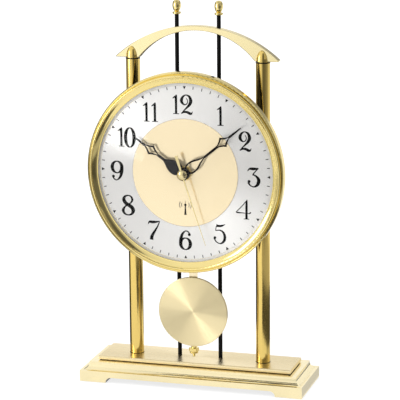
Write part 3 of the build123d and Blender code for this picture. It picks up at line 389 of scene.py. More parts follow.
felt = Surface("felt", (0.03, 0.03, 0.03), Roughness=0.95, Sheen_Weight=0.4)
felt_nap = felt.noise(4000.0, 5.0)
felt.tint(felt_nap, (0.015, 0.015, 0.015), (0.05, 0.05, 0.05))
felt.bump(felt_nap, 0.0002, 0.8)

dial_ink = Surface("dial_ink", (0.004, 0.004, 0.004), Roughness=0.55, Specular_IOR_Level=0.05)
dial_ink.rough(dial_ink.noise(900.0), 0.48, 0.62)

tick_ink = Surface("tick_ink", (0.06, 0.06, 0.065), Roughness=0.55, Specular_IOR_Level=0.05)
tick_ink.rough(tick_ink.noise(900.0), 0.48, 0.62)

# Painted shadow: grey ink for the line round the centre disc's edge
disc_shade_ink = Surface("disc_shade_ink", (0.45, 0.42, 0.36), Roughness=0.5)
disc_shade_ink.rough(disc_shade_ink.noise(900.0), 0.42, 0.58)

finishes = {
    bezel_brass: ["bezel"],
    base_brass: ["base_plinth"],
    plate_brass: ["base_top_plate"],
    column_gold: ["column_left", "column_right", "column_finial_left", "column_finial_right"],
    arch_gold: ["arch"],
    drum_black: ["case_drum"],
    bob_brass: ["pendulum_bob"],
    strip_brass: ["pendulum_strip"],
    finial_brass: ["rod_finial_left", "rod_finial_right", "rating_nut"],
    black_enamel: ["rod_left", "rod_right"],
    hand_black: ["minute_hand"],
    hour_black: ["hour_hand"],
    needle_gold: ["second_hand"],
    dial_silver: ["dial_plate"],
    dial_champagne: ["dial_centre"],
    reflector_brass: ["reflector_ring"],
    glass_clear: ["glass"],
    steel: ["column_screws", "case_screws", "arch_studs", "train_arbors", "pivot_pin", "pendulum_lever",
            "motor_stators", "battery_contact_positive", "battery_contact_negative", "quartz_crystal"],
    turned_brass: ["centre_bush", "dial_nut"],
    black_plastic: ["movement_tray", "movement_cover", "control_chip"],
    white_plastic: ["hour_wheel", "minute_wheel", "second_wheel", "motion_wheel", "minute_idler",
                    "second_idler"],
    copper_wire: ["motor_coils", "antenna_coil", "drive_coil"],
    ferrite: ["antenna_core", "minute_rotor", "second_rotor", "drive_magnet"],
    board_green: ["circuit_board"],
    battery_jacket: ["battery"],
    grey_plastic: ["set_button", "reset_button"],
    felt: ["foot_pads"],
}
for surface, names in finishes.items():
    for name in names:
        slots = nodes[name].data.materials
        slots.clear()
        slots.append(surface.material)

nodes["glass"].visible_shadow = False


# Pieces that scene.py adds; their measures are in millimetres


def piece(name, mesh_maker, surface, body):
    """A piece that rides on a body and takes the given surface's material."""
    made = build(name, mesh_maker, surface.material)
    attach(made, body)
    return made


def lathe(bm, centre, axis, profile, segments=48):
    """Turn a closed outline of (radius, height) points round an axis."""
    turn = Vector(axis).to_track_quat("Z", "Y").to_matrix()
    rings = []
    for radius, height in profile:
        ring = []
        for i in range(segments):
            bend = 2 * math.pi * i / segments
            spot = Vector((radius * math.cos(bend), radius * math.sin(bend), height)) * MM
            ring.append(bm.verts.new(centre + turn @ spot))
        rings.append(ring)
    for a, b in zip(rings, rings[1:] + rings[:1]):
        for i in range(segments):
            bm.faces.new((a[i], a[i - 1], b[i - 1], b[i]))


def washer_outline(inner, outer, low, high, soft):
    """A ring's section with softened outer edges."""
    return [(inner, low), (outer - soft, low), (outer, low + soft), (outer, high - soft),
            (outer - soft, high), (inner, high)]


def prism(bm, centre, axis, outline, low, high):
    """A flat outline of (right, up) points, raised from low to high along an axis."""
    turn = Vector(axis).to_track_quat("Z", "Y").to_matrix()
    layers = []
    for height in (low, high):
        layers.append([bm.verts.new(centre + turn @ (Vector((x, y, height)) * MM)) for x, y in outline])
    bottom, top = layers
    for i in range(len(outline)):
        bm.faces.new((bottom[i - 1], bottom[i], top[i], top[i - 1]))
    bm.faces.new(top)
    bm.faces.new(list(reversed(bottom)))


def cross(reach, half):
    """The outline of a plus sign."""
    return [(half, half), (half, reach), (-half, reach), (-half, half), (-reach, half), (-reach, -half),
            (-half, -half), (-half, -reach), (half, -reach), (half, -half), (reach, -half), (reach, half)]


def bar(reach, half):
    """The outline of a minus sign."""
    return [(-reach, -half), (reach, -half), (reach, half), (-reach, half)]


# Painted shade: thin black rings at the columns' ends, and a black strip under the plate's edge, standing
# for the shade in those joints

COLUMNS = ("column_left", "column_right")
# Inside and outside the column's radius, below and above its end, and the softened edge
TOP_SHADE_RING = (1.5, 0.12, -0.4, 0.4, 0.1)
FOOT_SHADE_RING = (0.5, 0.25, -0.05, 0.3, 0.1)
# How far the shade strip's outer and inner edges lie inside the plate's, and its height
SHADE_STRIP_OUTER = 0.9
SHADE_STRIP_INNER = 1.6
SHADE_STRIP_HEIGHT = 0.4
CORNERS = ((-1, -1), (1, -1), (1, 1), (-1, 1))


# Painted shade: a black ring at each end of each column, where the joint lies in shade
def column_shade_rings(bm):
    for name in COLUMNS:
        low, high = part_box(name)
        centre = middle(name)
        radius = span(name).x / MM / 2
        for end, (inset, proud, bottom, top, soft) in ((high, TOP_SHADE_RING), (low, FOOT_SHADE_RING)):
            outline = washer_outline(radius - inset, radius + proud, bottom, top, soft)
            lathe(bm, Vector((centre.x, centre.y, end[2])), UPWARD, outline)


def plate_shade_strip(bm):
    """Painted shade: a black strip round the plate's lower edge, mitred at the corners, where the gap under
    the plate lies in shade.
    """
    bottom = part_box("base_plinth")[1][2]
    top = bottom + SHADE_STRIP_HEIGHT * MM
    half = span("base_top_plate") / 2
    centre = middle("base_top_plate")
    outer = -SHADE_STRIP_OUTER * MM
    inner = -SHADE_STRIP_INNER * MM
    rows = []
    for reach, height in ((inner, bottom), (outer, bottom), (outer, top), (inner, top)):
        row = []
        for x, y in CORNERS:
            spot = (centre.x + x * (half.x + reach), centre.y + y * (half.y + reach), height)
            row.append(bm.verts.new(spot))
        rows.append(row)
    for a, b in zip(rows, rows[1:] + rows[:1]):
        for i in range(len(CORNERS)):
            bm.faces.new((a[i - 1], a[i], b[i], b[i - 1]))


# Small fittings on the back and below: painted shade in the screw recesses, cover ribs and screws, battery
# band and signs

CASE_HEAD_RADIUS = 2.8
CASE_CROSS = cross(1.5, 0.3)
CASE_RECESS = -0.2
FOOT_HEAD_RADIUS = 4.5
FOOT_CROSS = cross(2.4, 0.45)
FOOT_RECESS = -0.3
RECESS_PROUD = 0.03
COVER_SCREWS = ((-24.2, 168.0), (24.2, 168.0), (-24.2, 209.6), (24.2, 209.6))
COVER_CROSS = cross(1.1, 0.22)
COVER_RECESS = 0.4
# The section of a domed cover screw: (radius, height)
SCREW_TOP = 0.8
SCREW_DOME = [(0.02, -0.2), (1.9, -0.2), (1.9, 0.3), (1.52, 0.62), (0.855, 0.78), (0.02, SCREW_TOP)]
# The ribs' frame: left, right, bottom and top
RIB_FRAME = (-20.0, 20.0, 164.0, 211.6)
RIB_WIDTH = 0.9
RIB_SINK = -0.2
RIB_HEIGHT = 0.45
BUTTON_RING = washer_outline(2.9, 3.9, RIB_SINK, 0.5, 0.15)
POLE_PLACE = (21.5, 161.0)
POLE_SIZE = (1.5, 0.28)
POLE_SINK = -0.1
POLE_HEIGHT = 0.15
# Where the bands begin and end, right of the battery's middle
BATTERY_BANDS = ((9.0, 23.6), (7.2, 8.0))
BAND_SINK = 0.3
BAND_PROUD = 0.06
BAND_SOFT = 0.04
cover_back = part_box("movement_cover")[1][1]


def on_cover(x, z):
    """A point on the movement cover's back, from the middle plane and the table."""
    return Vector((x * MM, cover_back, z * MM))


def screw_recess_shades(bm):
    """Painted shade: dark crosses standing for the shaded cross recesses of the screws through the columns,
    below the base and on the cover.
    """
    low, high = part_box("case_screws")
    head = CASE_HEAD_RADIUS * MM
    for x in (low[0] + head, high[0] - head):
        for z in (low[2] + head, high[2] - head):
            prism(bm, Vector((x, high[1], z)), BACKWARD, CASE_CROSS, CASE_RECESS, RECESS_PROUD)
    low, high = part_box("column_screws")
    head = FOOT_HEAD_RADIUS * MM
    for x in (low[0] + head, high[0] - head):
        spot = Vector((x, middle("column_screws").y, low[2]))
        prism(bm, spot, DOWNWARD, FOOT_CROSS, FOOT_RECESS, RECESS_PROUD)
    for x, z in COVER_SCREWS:
        prism(bm, on_cover(x, z), BACKWARD, COVER_CROSS, COVER_RECESS, SCREW_TOP + RECESS_PROUD)


def cover_screws(bm):
    """Small domed screws in the corners of the movement cover."""
    for x, z in COVER_SCREWS:
        lathe(bm, on_cover(x, z), BACKWARD, SCREW_DOME, 24)


def cover_ribs(bm):
    """Moulded ribs on the cover: a frame round its upper part and a ring round each button."""
    left, right, low, high = RIB_FRAME
    inner_low = low + RIB_WIDTH
    inner_high = high - RIB_WIDTH
    ribs = ((left, right, inner_high, high), (left, right, low, inner_low),
            (left, left + RIB_WIDTH, inner_low, inner_high),
            (right - RIB_WIDTH, right, inner_low, inner_high))
    for x0, x1, z0, z1 in ribs:
        outline = [(-x0, z0), (-x1, z0), (-x1, z1), (-x0, z1)]
        prism(bm, on_cover(0, 0), BACKWARD, outline, RIB_SINK, RIB_HEIGHT)
    for name in ("set_button", "reset_button"):
        centre = middle(name)
        lathe(bm, Vector((centre.x, cover_back, centre.z)), BACKWARD, BUTTON_RING, 32)


def pole_signs(bm):
    """Plus and minus above the battery's ends."""
    x, z = POLE_PLACE
    prism(bm, on_cover(x, z), BACKWARD, cross(*POLE_SIZE), POLE_SINK, POLE_HEIGHT)
    prism(bm, on_cover(-x, z), BACKWARD, bar(*POLE_SIZE), POLE_SINK, POLE_HEIGHT)


def battery_band(bm):
    """The coppery band round the battery's plus end, and a fine ring beside it."""
    radius = span("battery").z / MM / 2
    for first, last in BATTERY_BANDS:
        outline = washer_outline(radius - BAND_SINK, radius + BAND_PROUD, first, last, BAND_SOFT)
        lathe(bm, middle("battery"), RIGHTWARD, outline, 40)


# Painted shade: black crosses on the steel screw heads, where their recesses lie in shade
piece("screw_recess_shades", screw_recess_shades, black_plastic, "stand")
piece("cover_screws", cover_screws, steel, "stand")
piece("cover_ribs", cover_ribs, black_plastic, "stand")
piece("pole_signs", pole_signs, white_plastic, "stand")
piece("battery_band", battery_band, copper_band, "stand")
# Painted shade rings at the columns' ends
piece("column_shade_rings", column_shade_rings, black_enamel, "stand")
# Painted shade in the gap under the plate
piece("plate_shade_strip", plate_shade_strip, black_enamel, "stand")


# Dial print, and a painted shadow round the centre disc: numerals drawn as pen strokes whose width swells
# and thins

PRINT_AHEAD = 0.05
FILM = 0.00003
STEPS = 10
BALL_CORNERS = 24
OVAL_POINTS = 16
OVAL_SWELL = 1.4


def flow(points, closed):
    """Points on a smooth curve through the stroke's own points, each (x, y, width)."""
    count = len(points)
    spans = count if closed else count - 1
    path = []
    for i in range(spans):
        if closed:
            around = [points[(i + k) % count] for k in (-1, 0, 1, 2)]
        else:
            around = [points[min(max(i + k, 0), count - 1)] for k in (-1, 0, 1, 2)]
        a, b, c, d = (Vector(p) for p in around)
        for step in range(STEPS):
            t = step / STEPS
            path.append(0.5 * (2 * b + (c - a) * t + (2 * a - 5 * b + 4 * c - d) * t**2
                               + (3 * b - a - 3 * c + d) * t**3))
    if not closed:
        path.append(Vector(points[-1]))
    return path


def ink_stroke(bm, points, at=(0, 0), closed=False, ahead=0.0):
    """One pen stroke, as a flat ribbon on the dial."""
    path = flow(points, closed)
    count = len(path)
    edges = []
    for i, p in enumerate(path):
        before = path[i - 1] if closed or i else p
        after = path[(i + 1) % count] if closed or i + 1 < count else p
        along = Vector((after.x - before.x, after.y - before.y)).normalized()
        side = Vector((-along.y, along.x)) * p.z / 2
        left = on_dial(at[0] + p.x + side.x, at[1] + p.y + side.y, ahead + PRINT_AHEAD)
        right = on_dial(at[0] + p.x - side.x, at[1] + p.y - side.y, ahead + PRINT_AHEAD)
        edges.append((bm.verts.new(left), bm.verts.new(right)))
    last = count if closed else count - 1
    for i in range(last):
        a, b = edges[i]
        c, d = edges[(i + 1) % count]
        bm.faces.new((a, c, d, b))


def ink_ball(bm, x, y, radius, at=(0, 0), ahead=0.0):
    """A round end of a stroke."""
    ring = []
    for i in range(BALL_CORNERS):
        turn = 2 * math.pi * i / BALL_CORNERS
        spot = (at[0] + x + radius * math.cos(turn), at[1] + y + radius * math.sin(turn))
        ring.append(bm.verts.new(on_dial(*spot, ahead + PRINT_AHEAD)))
    bm.faces.new(ring)


def oval(width, height, thick, thin, lift=0.0):
    """A closed stroke round an oval, thick at its sides."""
    a = (width - thick) / 2
    b = (height - thin) / 2
    points = []
    for i in range(OVAL_POINTS):
        turn = 2 * math.pi * i / OVAL_POINTS
        swell = abs(math.cos(turn)) ** OVAL_SWELL
        points.append((a * math.cos(turn), lift + b * math.sin(turn), thin + (thick - thin) * swell))
    return points


def upside_down(points):
    return [(-x, -y, width) for x, y, width in points]


SIX_STEM = [(-4.1, -2.9, 2.2), (-3.85, 1.0, 2.2), (-2.6, 5.0, 1.6), (-0.1, 7.6, 0.8), (2.2, 7.2, 0.8),
            (3.7, 5.2, 0.8)]
SIX_BOWL = oval(10.4, 10.2, 2.3, 0.75, -2.9)

# Each numeral: open strokes, closed strokes and round ends
NUMERALS = {
    "0": ([], [oval(9.6, 16.4, 2.35, 0.75)], []),
    "1": ([[(0.6, 7.9, 0.9), (0.35, 5.5, 1.9), (0.35, 0, 1.9), (0.35, -6.6, 1.9), (0.35, -7.6, 2.6)],
           [(-2.1, -7.4, 0.6), (2.8, -7.4, 0.6)],
           [(-2.6, 4.9, 0.4), (-0.9, 6.0, 1.2), (0.7, 7.6, 0.8)]], [], []),
    "2": ([[(0.0, 5.3, 0.5), (1.0, 3.1, 0.6), (0.3, 0.9, 0.7), (-1.6, 0.1, 0.9), (-3.6, 1.6, 1.9),
            (-4.1, 3.9, 2.2), (-2.8, 6.6, 1.5), (-0.3, 7.9, 0.8), (2.4, 6.6, 1.7), (3.55, 3.3, 2.4),
            (2.5, 0.3, 2.1), (0.0, -2.5, 1.2), (-2.5, -5.0, 0.8), (-4.1, -7.1, 0.6)],
           [(-4.4, -7.1, 0.8), (-2.2, -5.9, 1.3), (0.3, -5.8, 1.7), (2.5, -6.8, 2.0), (3.9, -7.0, 1.3),
            (5.0, -5.2, 0.35)]], [], []),
    "3": ([[(-5.0, 4.7, 0.3), (-3.3, 6.7, 1.2), (-0.4, 6.8, 1.9), (2.0, 7.0, 1.4), (4.0, 7.5, 0.5)],
           [(3.8, 7.3, 0.7), (1.6, 5.0, 0.7), (-0.6, 2.3, 0.7)],
           [(-1.0, 2.1, 0.7), (1.6, 1.3, 1.1), (3.8, -1.1, 2.0), (4.1, -3.5, 2.3), (2.8, -6.3, 1.8),
            (0, -7.7, 0.8), (-2.8, -6.6, 0.9), (-4.4, -4.3, 1.4)]], [], [(-3.8, -3.5, 1.2)]),
    "4": ([[(2.9, 8.0, 0.6), (2.5, 5.0, 1.8), (2.4, 0, 2.0), (2.4, -6.8, 2.0), (2.4, -7.8, 2.6)],
           [(2.9, 7.7, 0.7), (-1.4, 2.5, 0.7), (-6.0, -2.4, 0.7)],
           [(-6.3, -2.3, 0.8), (-4.8, -2.8, 1.2), (-1.0, -2.9, 0.8), (4.0, -3.2, 0.6), (5.2, -2.9, 1.1),
            (6.0, -1.9, 0.6)],
           [(0.1, -7.75, 0.6), (4.7, -7.75, 0.6)]], [], []),
    "5": ([[(-2.9, 6.7, 2.5), (-1.6, 6.5, 1.8), (0.4, 6.5, 1.7), (2.6, 7.1, 1.2), (4.5, 8.1, 0.3)],
           [(-3.0, 6.0, 0.7), (-3.2, 4.4, 0.6), (-3.45, 2.5, 0.6)],
           [(-3.4, 2.6, 0.7), (0, 3.0, 0.9), (2.6, 1.6, 1.5), (4.1, -1.6, 2.1), (3.7, -5.1, 2.1),
            (1.9, -7.3, 1.4), (-0.3, -7.9, 0.8), (-3.2, -6.4, 0.9), (-4.6, -3.8, 1.3)]], [],
          [(-4.1, -3.3, 1.1)]),
    "6": ([SIX_STEM], [SIX_BOWL], [(3.2, 4.8, 1.2)]),
    "7": ([[(-4.7, 4.8, 0.4), (-3.6, 6.9, 1.4), (-1.2, 6.8, 2.0), (2.2, 7.1, 1.4), (4.9, 7.9, 0.5)],
           [(4.9, 7.6, 0.7), (3.2, 3.4, 1.0), (0.7, -0.7, 1.6), (-1.5, -4.6, 2.2), (-2.1, -7.9, 2.6)]],
          [], []),
    "8": ([], [[(0, 8.0, 0.8), (-2.6, 7.1, 1.4), (-3.7, 4.6, 2.1), (-2.2, 1.7, 2.2), (0.4, 0.1, 2.3),
                (3.2, -1.9, 2.3), (4.2, -4.4, 2.3), (2.8, -7.2, 1.4), (0, -8.1, 0.8), (-2.9, -7.2, 1.2),
                (-4.3, -4.4, 1.8), (-2.6, -1.3, 1.0), (0.4, 0.7, 0.9), (2.7, 2.6, 1.0), (3.5, 4.8, 1.4),
                (2.4, 7.2, 1.0)]], []),
    "9": ([upside_down(SIX_STEM)], [upside_down(SIX_BOWL)], [(-3.2, -4.8, 1.2)]),
}

# Where each numeral stands, right of and above the dial's centre
HOURS = [
    ("1", 29.3, 47.3), ("2", 49.7, 27.7), ("3", 56.6, -0.6), ("4", 48.3, -27.0), ("5", 28.6, -48.2),
    ("6", -0.1, -55.2), ("7", -26.7, -48.5), ("8", -48.2, -28.9), ("9", -57.2, -0.8),
    ("1", -53.5, 26.8), ("0", -46.0, 26.8), ("1", -32.0, 48.1), ("1", -25.0, 48.1),
    ("1", -7.3, 55.2), ("2", 1.7, 55.2),
]

# How much heavier the pen is for each numeral
PEN_WEIGHTS = {"0": 1.25, "1": 1.0, "2": 1.12, "3": 1.22, "4": 0.95, "5": 1.03, "6": 1.22, "7": 1.15,
               "8": 1.32, "9": 1.22}


def numerals(bm):
    for figure, x, z in HOURS:
        strokes, rings, balls = NUMERALS[figure]
        weight = Vector((1, 1, PEN_WEIGHTS[figure]))
        for points in strokes:
            ink_stroke(bm, [weight * Vector(p) for p in points], (x, z))
        for points in rings:
            ink_stroke(bm, [weight * Vector(p) for p in points], (x, z), closed=True)
        for ball in balls:
            ink_ball(bm, *ball, (x, z))


MARK_RADIUS = 69.0
# A mark's corners, outwards from that circle and sideways
HOUR_MARK = ((1.1, 1.25), (-1.4, 0), (1.1, -1.25))
MINUTE_MARK = ((1.2, 0.32), (-1.1, 0.32), (-1.1, -0.32), (1.2, -0.32))


def dial_mark(bm, minute, outline):
    turn = 2 * math.pi * minute / 60
    out = Vector((math.sin(turn), math.cos(turn)))
    across = Vector((out.y, -out.x))
    corners = []
    for radial, sideways in outline:
        spot = out * (MARK_RADIUS + radial) + across * sideways
        corners.append(bm.verts.new(on_dial(spot.x, spot.y, PRINT_AHEAD)))
    bm.faces.new(corners)


def hour_marks(bm):
    """Small triangles at the hours, each pointing to the dial's centre."""
    for minute in range(0, 60, 5):
        dial_mark(bm, minute, HOUR_MARK)


def minute_marks(bm):
    """Short fine dashes at the minutes between."""
    for minute in range(60):
        if minute % 5:
            dial_mark(bm, minute, MINUTE_MARK)


DISC_RADIUS = span("dial_centre").x / MM / 2
DISC_AHEAD = span("dial_centre").y / MM
DISC_SHADE_GAP = 0.15
DISC_SHADE_WIDTH = 0.3
DISC_SHADE_POINTS = 24
# The mast sign: its ball, its strokes as (height from the ball, width), and its waves
SIGN_BALL = (0.1, -26.0)
SIGN_BALL_RADIUS = 1.0
MAST_TIP = ((3.4, 0.25), (1.5, 0.4), (0, 0.6))
MAST_FOOT = ((0, 0.8), (-4, 1.2), (-7.4, 1.7), (-8.2, 2.1))
WAVE_RADII = (3.2, 4.9)
WAVE_REACH = 32
WAVE_WIDTH = 0.5
WAVE_POINTS = 9


def arc_points(centre, radius, first, last, width, count):
    """Stroke points round a centre; bearings in degrees from the right, turning left."""
    points = []
    for i in range(count):
        turn = math.radians(first + (last - first) * i / (count - 1))
        points.append((centre[0] + radius * math.cos(turn), centre[1] + radius * math.sin(turn), width))
    return points


def mast_sign(bm):
    """A plain sign for radio control: a mast with a ball."""
    x, y = SIGN_BALL
    for stroke in (MAST_TIP, MAST_FOOT):
        ink_stroke(bm, [(x, y + rise, width) for rise, width in stroke], ahead=DISC_AHEAD)
    ink_ball(bm, x, y, SIGN_BALL_RADIUS, ahead=DISC_AHEAD)


def mast_waves(bm):
    """Waves to both sides of the mast."""
    for radius in WAVE_RADII:
        for bearing in (0, 180):
            points = arc_points(SIGN_BALL, radius, bearing - WAVE_REACH, bearing + WAVE_REACH, WAVE_WIDTH,
                                WAVE_POINTS)
            ink_stroke(bm, points, ahead=DISC_AHEAD)


def disc_edge_shade(bm):
    """Painted shadow: the fine grey line round the centre disc, where the disc's edge casts shade."""
    last = 360 - 360 / DISC_SHADE_POINTS
    points = arc_points((0, 0), DISC_RADIUS + DISC_SHADE_GAP, 0, last, DISC_SHADE_WIDTH, DISC_SHADE_POINTS)
    ink_stroke(bm, points, closed=True)


def print_and_shade_film(name, maker, surface):
    """Print on the dial, and the painted shadow round the centre disc, as a thin film of ink."""
    made = piece(name, maker, surface, "stand")
    film = made.modifiers.new("film", "SOLIDIFY")
    film.thickness = FILM
    film.offset = 0


print_and_shade_film("dial_numerals", numerals, dial_ink)
print_and_shade_film("dial_hour_marks", hour_marks, dial_ink)
print_and_shade_film("dial_minute_marks", minute_marks, tick_ink)
print_and_shade_film("dial_mast_sign", mast_sign, dial_ink)
print_and_shade_film("dial_mast_waves", mast_waves, tick_ink)
# Painted shadow round the centre disc's edge
print_and_shade_film("dial_disc_outline", disc_edge_shade, disc_shade_ink)


# Studio: a pale floor, soft lamps and cards round the clock that only its polished metal mirrors

WHITE = (1, 1, 1, 1)
WORLD_LIGHT = 0.6
FLOOR_RADIUS = 8.0
FLOOR_SIDES = 96
FLOOR_COLOR = (0.32, 0.32, 0.32, 1)
# The floor's glow near the clock and further off, where that fade begins and ends, and its mirrored share
FLOOR_GLOW_NEAR = 0.80
FLOOR_GLOW_FAR = 1.0
FADE_START = 0.15
FADE_END = 0.9
FLOOR_MIRRORED = 0.85


def seen_rays(tree, mirrored):
    """1 for camera and glass rays, the share given for mirrored rays, 0 for the others."""
    paths = add_node(tree, "ShaderNodeLightPath")
    dimmed = add_node(tree, "ShaderNodeMath", operation="MULTIPLY")
    dimmed.inputs[1].default_value = mirrored
    first = add_node(tree, "ShaderNodeMath", operation="MAXIMUM")
    second = add_node(tree, "ShaderNodeMath", operation="MAXIMUM")
    tree.links.new(paths.outputs["Is Glossy Ray"], dimmed.inputs[0])
    tree.links.new(paths.outputs["Is Camera Ray"], first.inputs[0])
    tree.links.new(dimmed.outputs["Value"], first.inputs[1])
    tree.links.new(first.outputs["Value"], second.inputs[0])
    tree.links.new(paths.outputs["Is Transmission Ray"], second.inputs[1])
    return second.outputs["Value"]


def set_world():
    world = bpy.data.worlds.new("studio")
    bpy.context.scene.world = world
    world.use_nodes = True
    tree = world.node_tree
    strength = add_node(tree, "ShaderNodeMapRange")
    set_inputs(strength, To_Min=WORLD_LIGHT, To_Max=1.0)
    background = tree.nodes["Background"]
    set_inputs(background, Color=WHITE)
    tree.links.new(seen_rays(tree, 1.0), strength.inputs["Value"])
    tree.links.new(strength.outputs["Result"], background.inputs["Strength"])


def floor_disc(bm):
    bmesh.ops.create_circle(bm, cap_ends=True, radius=FLOOR_RADIUS, segments=FLOOR_SIDES)


def make_floor():
    """A pale floor that takes the clock's shadow near it and fades to white further off."""
    pale = bpy.data.materials.new("floor_pale")
    pale.use_nodes = True
    tree = pale.node_tree
    shader = tree.nodes["Principled BSDF"]
    set_inputs(shader, Base_Color=FLOOR_COLOR, Roughness=0.9, Specular_IOR_Level=0.0, Emission_Color=WHITE)
    coordinates = add_node(tree, "ShaderNodeTexCoord")
    distance = add_node(tree, "ShaderNodeVectorMath", operation="LENGTH")
    fade = add_node(tree, "ShaderNodeMapRange", interpolation_type="SMOOTHSTEP")
    set_inputs(fade, From_Min=FADE_START, From_Max=FADE_END, To_Min=FLOOR_GLOW_NEAR, To_Max=FLOOR_GLOW_FAR)
    glow = add_node(tree, "ShaderNodeMath", operation="MULTIPLY")
    tree.links.new(coordinates.outputs["Object"], distance.inputs[0])
    tree.links.new(distance.outputs["Value"], fade.inputs["Value"])
    tree.links.new(fade.outputs["Result"], glow.inputs[0])
    tree.links.new(seen_rays(tree, FLOOR_MIRRORED), glow.inputs[1])
    tree.links.new(glow.outputs["Value"], shader.inputs["Emission Strength"])
    build("floor", floor_disc, pale)


def even(tone):
    """The same brightness all round."""
    return [(-180, tone), (180, tone)]


# Brightness round the clock, by the bearing in degrees: 0 in front of it, 90 to its right
NEAR_TONES = even(0.08)
SIDE_TONES = even(0.62)
FAR_TONES = even(0.50)
PANEL_TONES = even(1.0)
LOW_TONES = [(-180, 0.06), (-92, 0.06), (-76, 0.55), (-60, 1.00), (-16, 1.00), (-4, 0.70), (8, 0.40),
             (20, 0.08), (48, 0.08), (60, 0.40), (95, 0.40), (105, 1.00), (160, 1.00), (172, 0.06),
             (180, 0.06)]
MIDDLE_TONES = [(-180, 1.00), (-140, 1.00), (-120, 0.25), (-92, 0.12), (-76, 0.65), (-60, 1.00),
                (-16, 1.00), (-2, 0.75), (8, 0.45), (14, 0.15), (40, 0.15), (60, 0.20), (90, 0.35),
                (110, 0.80), (160, 1.00), (180, 1.00)]
HIGH_TONES = [(-180, 0.60), (-172, 0.80), (-140, 0.80), (-120, 0.15), (-92, 0.12), (-76, 0.85),
              (-60, 1.00), (-16, 1.00), (-2, 0.85), (6, 0.70), (11, 0.12), (32, 0.12), (42, 0.55),
              (90, 0.40), (140, 0.35), (172, 0.30), (180, 0.60)]
# Each band of the wall: name, bottom and top in metres, tones
CARD_BANDS = [("card_low", 0.0, 0.10, LOW_TONES), ("card_middle", 0.10, 0.34, MIDDLE_TONES),
              ("card_high", 0.34, 0.80, HIGH_TONES)]
CARD_RADIUS = 0.72
CARD_STEP = 4
CEILING = 0.80
SHEET_LIFT = 0.0004
TOP_SHEET_LIFT = 0.0008
NEAR_START = 0.17
NEAR_END = 0.36
GREY_END = 0.56
BEHIND_START = 0.14
PANEL_RADIUS = 0.66
PANEL_BOTTOM = 0.16
PANEL_TOP = 0.50
CARD_LIGHT = 1.05
PANEL_LIGHT = 6.0


def only_mirrored(card):
    """A studio card shows in polished metal only."""
    card.visible_camera = False
    card.visible_diffuse = False
    card.visible_transmission = False
    card.visible_shadow = False


def card_material(name, tones, light=CARD_LIGHT):
    """A glow whose brightness changes with the bearing."""
    card = bpy.data.materials.new(name)
    card.use_nodes = True
    tree = card.node_tree
    tree.nodes.remove(tree.nodes["Principled BSDF"])
    coordinates = add_node(tree, "ShaderNodeTexCoord")
    turn = add_node(tree, "ShaderNodeMapping")
    set_inputs(turn, Rotation=(0, 0, math.pi / 2))
    bearing = add_node(tree, "ShaderNodeTexGradient", gradient_type="RADIAL")
    ramp = add_node(tree, "ShaderNodeValToRGB")
    while len(ramp.color_ramp.elements) < len(tones):
        ramp.color_ramp.elements.new(0.5)
    for element, (degrees, tone) in zip(ramp.color_ramp.elements, tones):
        element.position = degrees / 360 + 0.5
        element.color = (tone, tone, tone, 1)
    glow = add_node(tree, "ShaderNodeEmission")
    set_inputs(glow, Strength=light)
    tree.links.new(coordinates.outputs["Object"], turn.inputs["Vector"])
    tree.links.new(turn.outputs["Vector"], bearing.inputs["Vector"])
    tree.links.new(bearing.outputs["Fac"], ramp.inputs["Fac"])
    tree.links.new(ramp.outputs["Color"], glow.inputs["Color"])
    tree.links.new(glow.outputs["Emission"], tree.nodes["Material Output"].inputs["Surface"])
    return card


def bent_card(name, first, last, rims, surface):
    """A card bent round the clock between two bearings; rims are (radius, height) of its two edges."""

    def bend(bm):
        steps = max(8, round(abs(last - first) / CARD_STEP))
        rows = []
        for i in range(steps + 1):
            out = direction(first + (last - first) * i / steps, 0)
            rows.append([bm.verts.new(out * radius + Vector((0, 0, height))) for radius, height in rims])
        for (a, b), (c, d) in zip(rows, rows[1:]):
            bm.faces.new((a, b, d, c))

    only_mirrored(build(name, bend, surface))


def flat_card(name, left, right, front, back, height, surface):
    """A level card above or beside the clock."""

    def lay(bm):
        corners = ((left, front), (right, front), (right, back), (left, back))
        bm.faces.new([bm.verts.new((x, y, height)) for x, y in corners])

    only_mirrored(build(name, lay, surface))


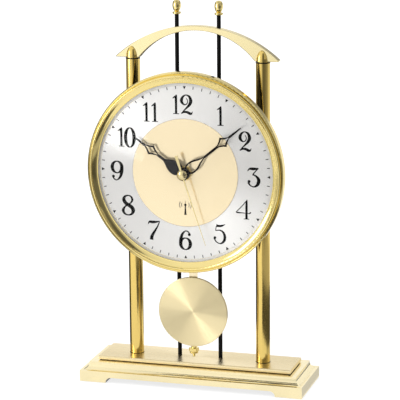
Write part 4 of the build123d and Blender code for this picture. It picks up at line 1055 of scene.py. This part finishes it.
def make_cards():
    """A round wall of grey and white card, sheets on the floor, strips overhead and one bright panel."""
    for name, bottom, top, tones in CARD_BANDS:
        rims = [(CARD_RADIUS, bottom), (CARD_RADIUS, top)]
        bent_card(name, -180, 180, rims, card_material(name, tones))
    far = card_material("card_sheet", LOW_TONES)
    grey = card_material("card_grey", FAR_TONES)
    near = card_material("card_dark", NEAR_TONES)
    side = card_material("card_side", SIDE_TONES)
    # Each sheet: name, first and last bearing, inner and outer radius, height, surface
    sheets = [
        ("card_near", 14, 150, NEAR_START, NEAR_END, TOP_SHEET_LIFT, near),
        ("card_grey", 2, 130, NEAR_END, GREY_END, SHEET_LIFT, grey),
        ("card_right", 2, 130, GREY_END, CARD_RADIUS, SHEET_LIFT, far),
        ("card_behind", -178, -84, BEHIND_START, CARD_RADIUS, SHEET_LIFT, far),
    ]
    for name, first, last, inner, outer, height, surface in sheets:
        bent_card(name, first, last, [(inner, height), (outer, height)], surface)
    flat_card("card_side", 0.096, 0.22, -0.02, 0.22, SHEET_LIFT, side)
    flat_card("card_ceiling_front", -0.27, 1.0, -0.46, -0.24, CEILING, near)
    flat_card("card_ceiling_back", -0.22, 1.0, -0.10, 0.24, CEILING, grey)
    panel = card_material("card_panel", PANEL_TONES, PANEL_LIGHT)
    bent_card("card_panel", -58, -42, [(PANEL_RADIUS, PANEL_BOTTOM), (PANEL_RADIUS, PANEL_TOP)], panel)


LAMP_FOCUS = Vector((0, 0, 0.16))
# Each lamp: bearing and height in degrees, distance and size in metres, power in watts
LAMPS = {
    "key": (-50, 35, 2.4, 1.5, 28.0),
    "fill": (45, 25, 2.6, 1.6, 18.0),
    "top": (-10, 80, 2.2, 1.6, 12.0),
}


def make_lamps():
    for name, (azimuth, elevation, distance, size, power) in LAMPS.items():
        out = direction(azimuth, elevation)
        data = bpy.data.lights.new(name, "AREA")
        data.shape = "SQUARE"
        data.size = size
        data.energy = power
        lamp = add_object(name, data)
        lamp.location = LAMP_FOCUS + out * distance
        lamp.rotation_euler = out.to_track_quat("Z", "Y").to_euler()
        lamp.visible_glossy = False


bpy.context.scene.view_settings.view_transform = "Standard"
set_world()
make_floor()
make_cards()
make_lamps()
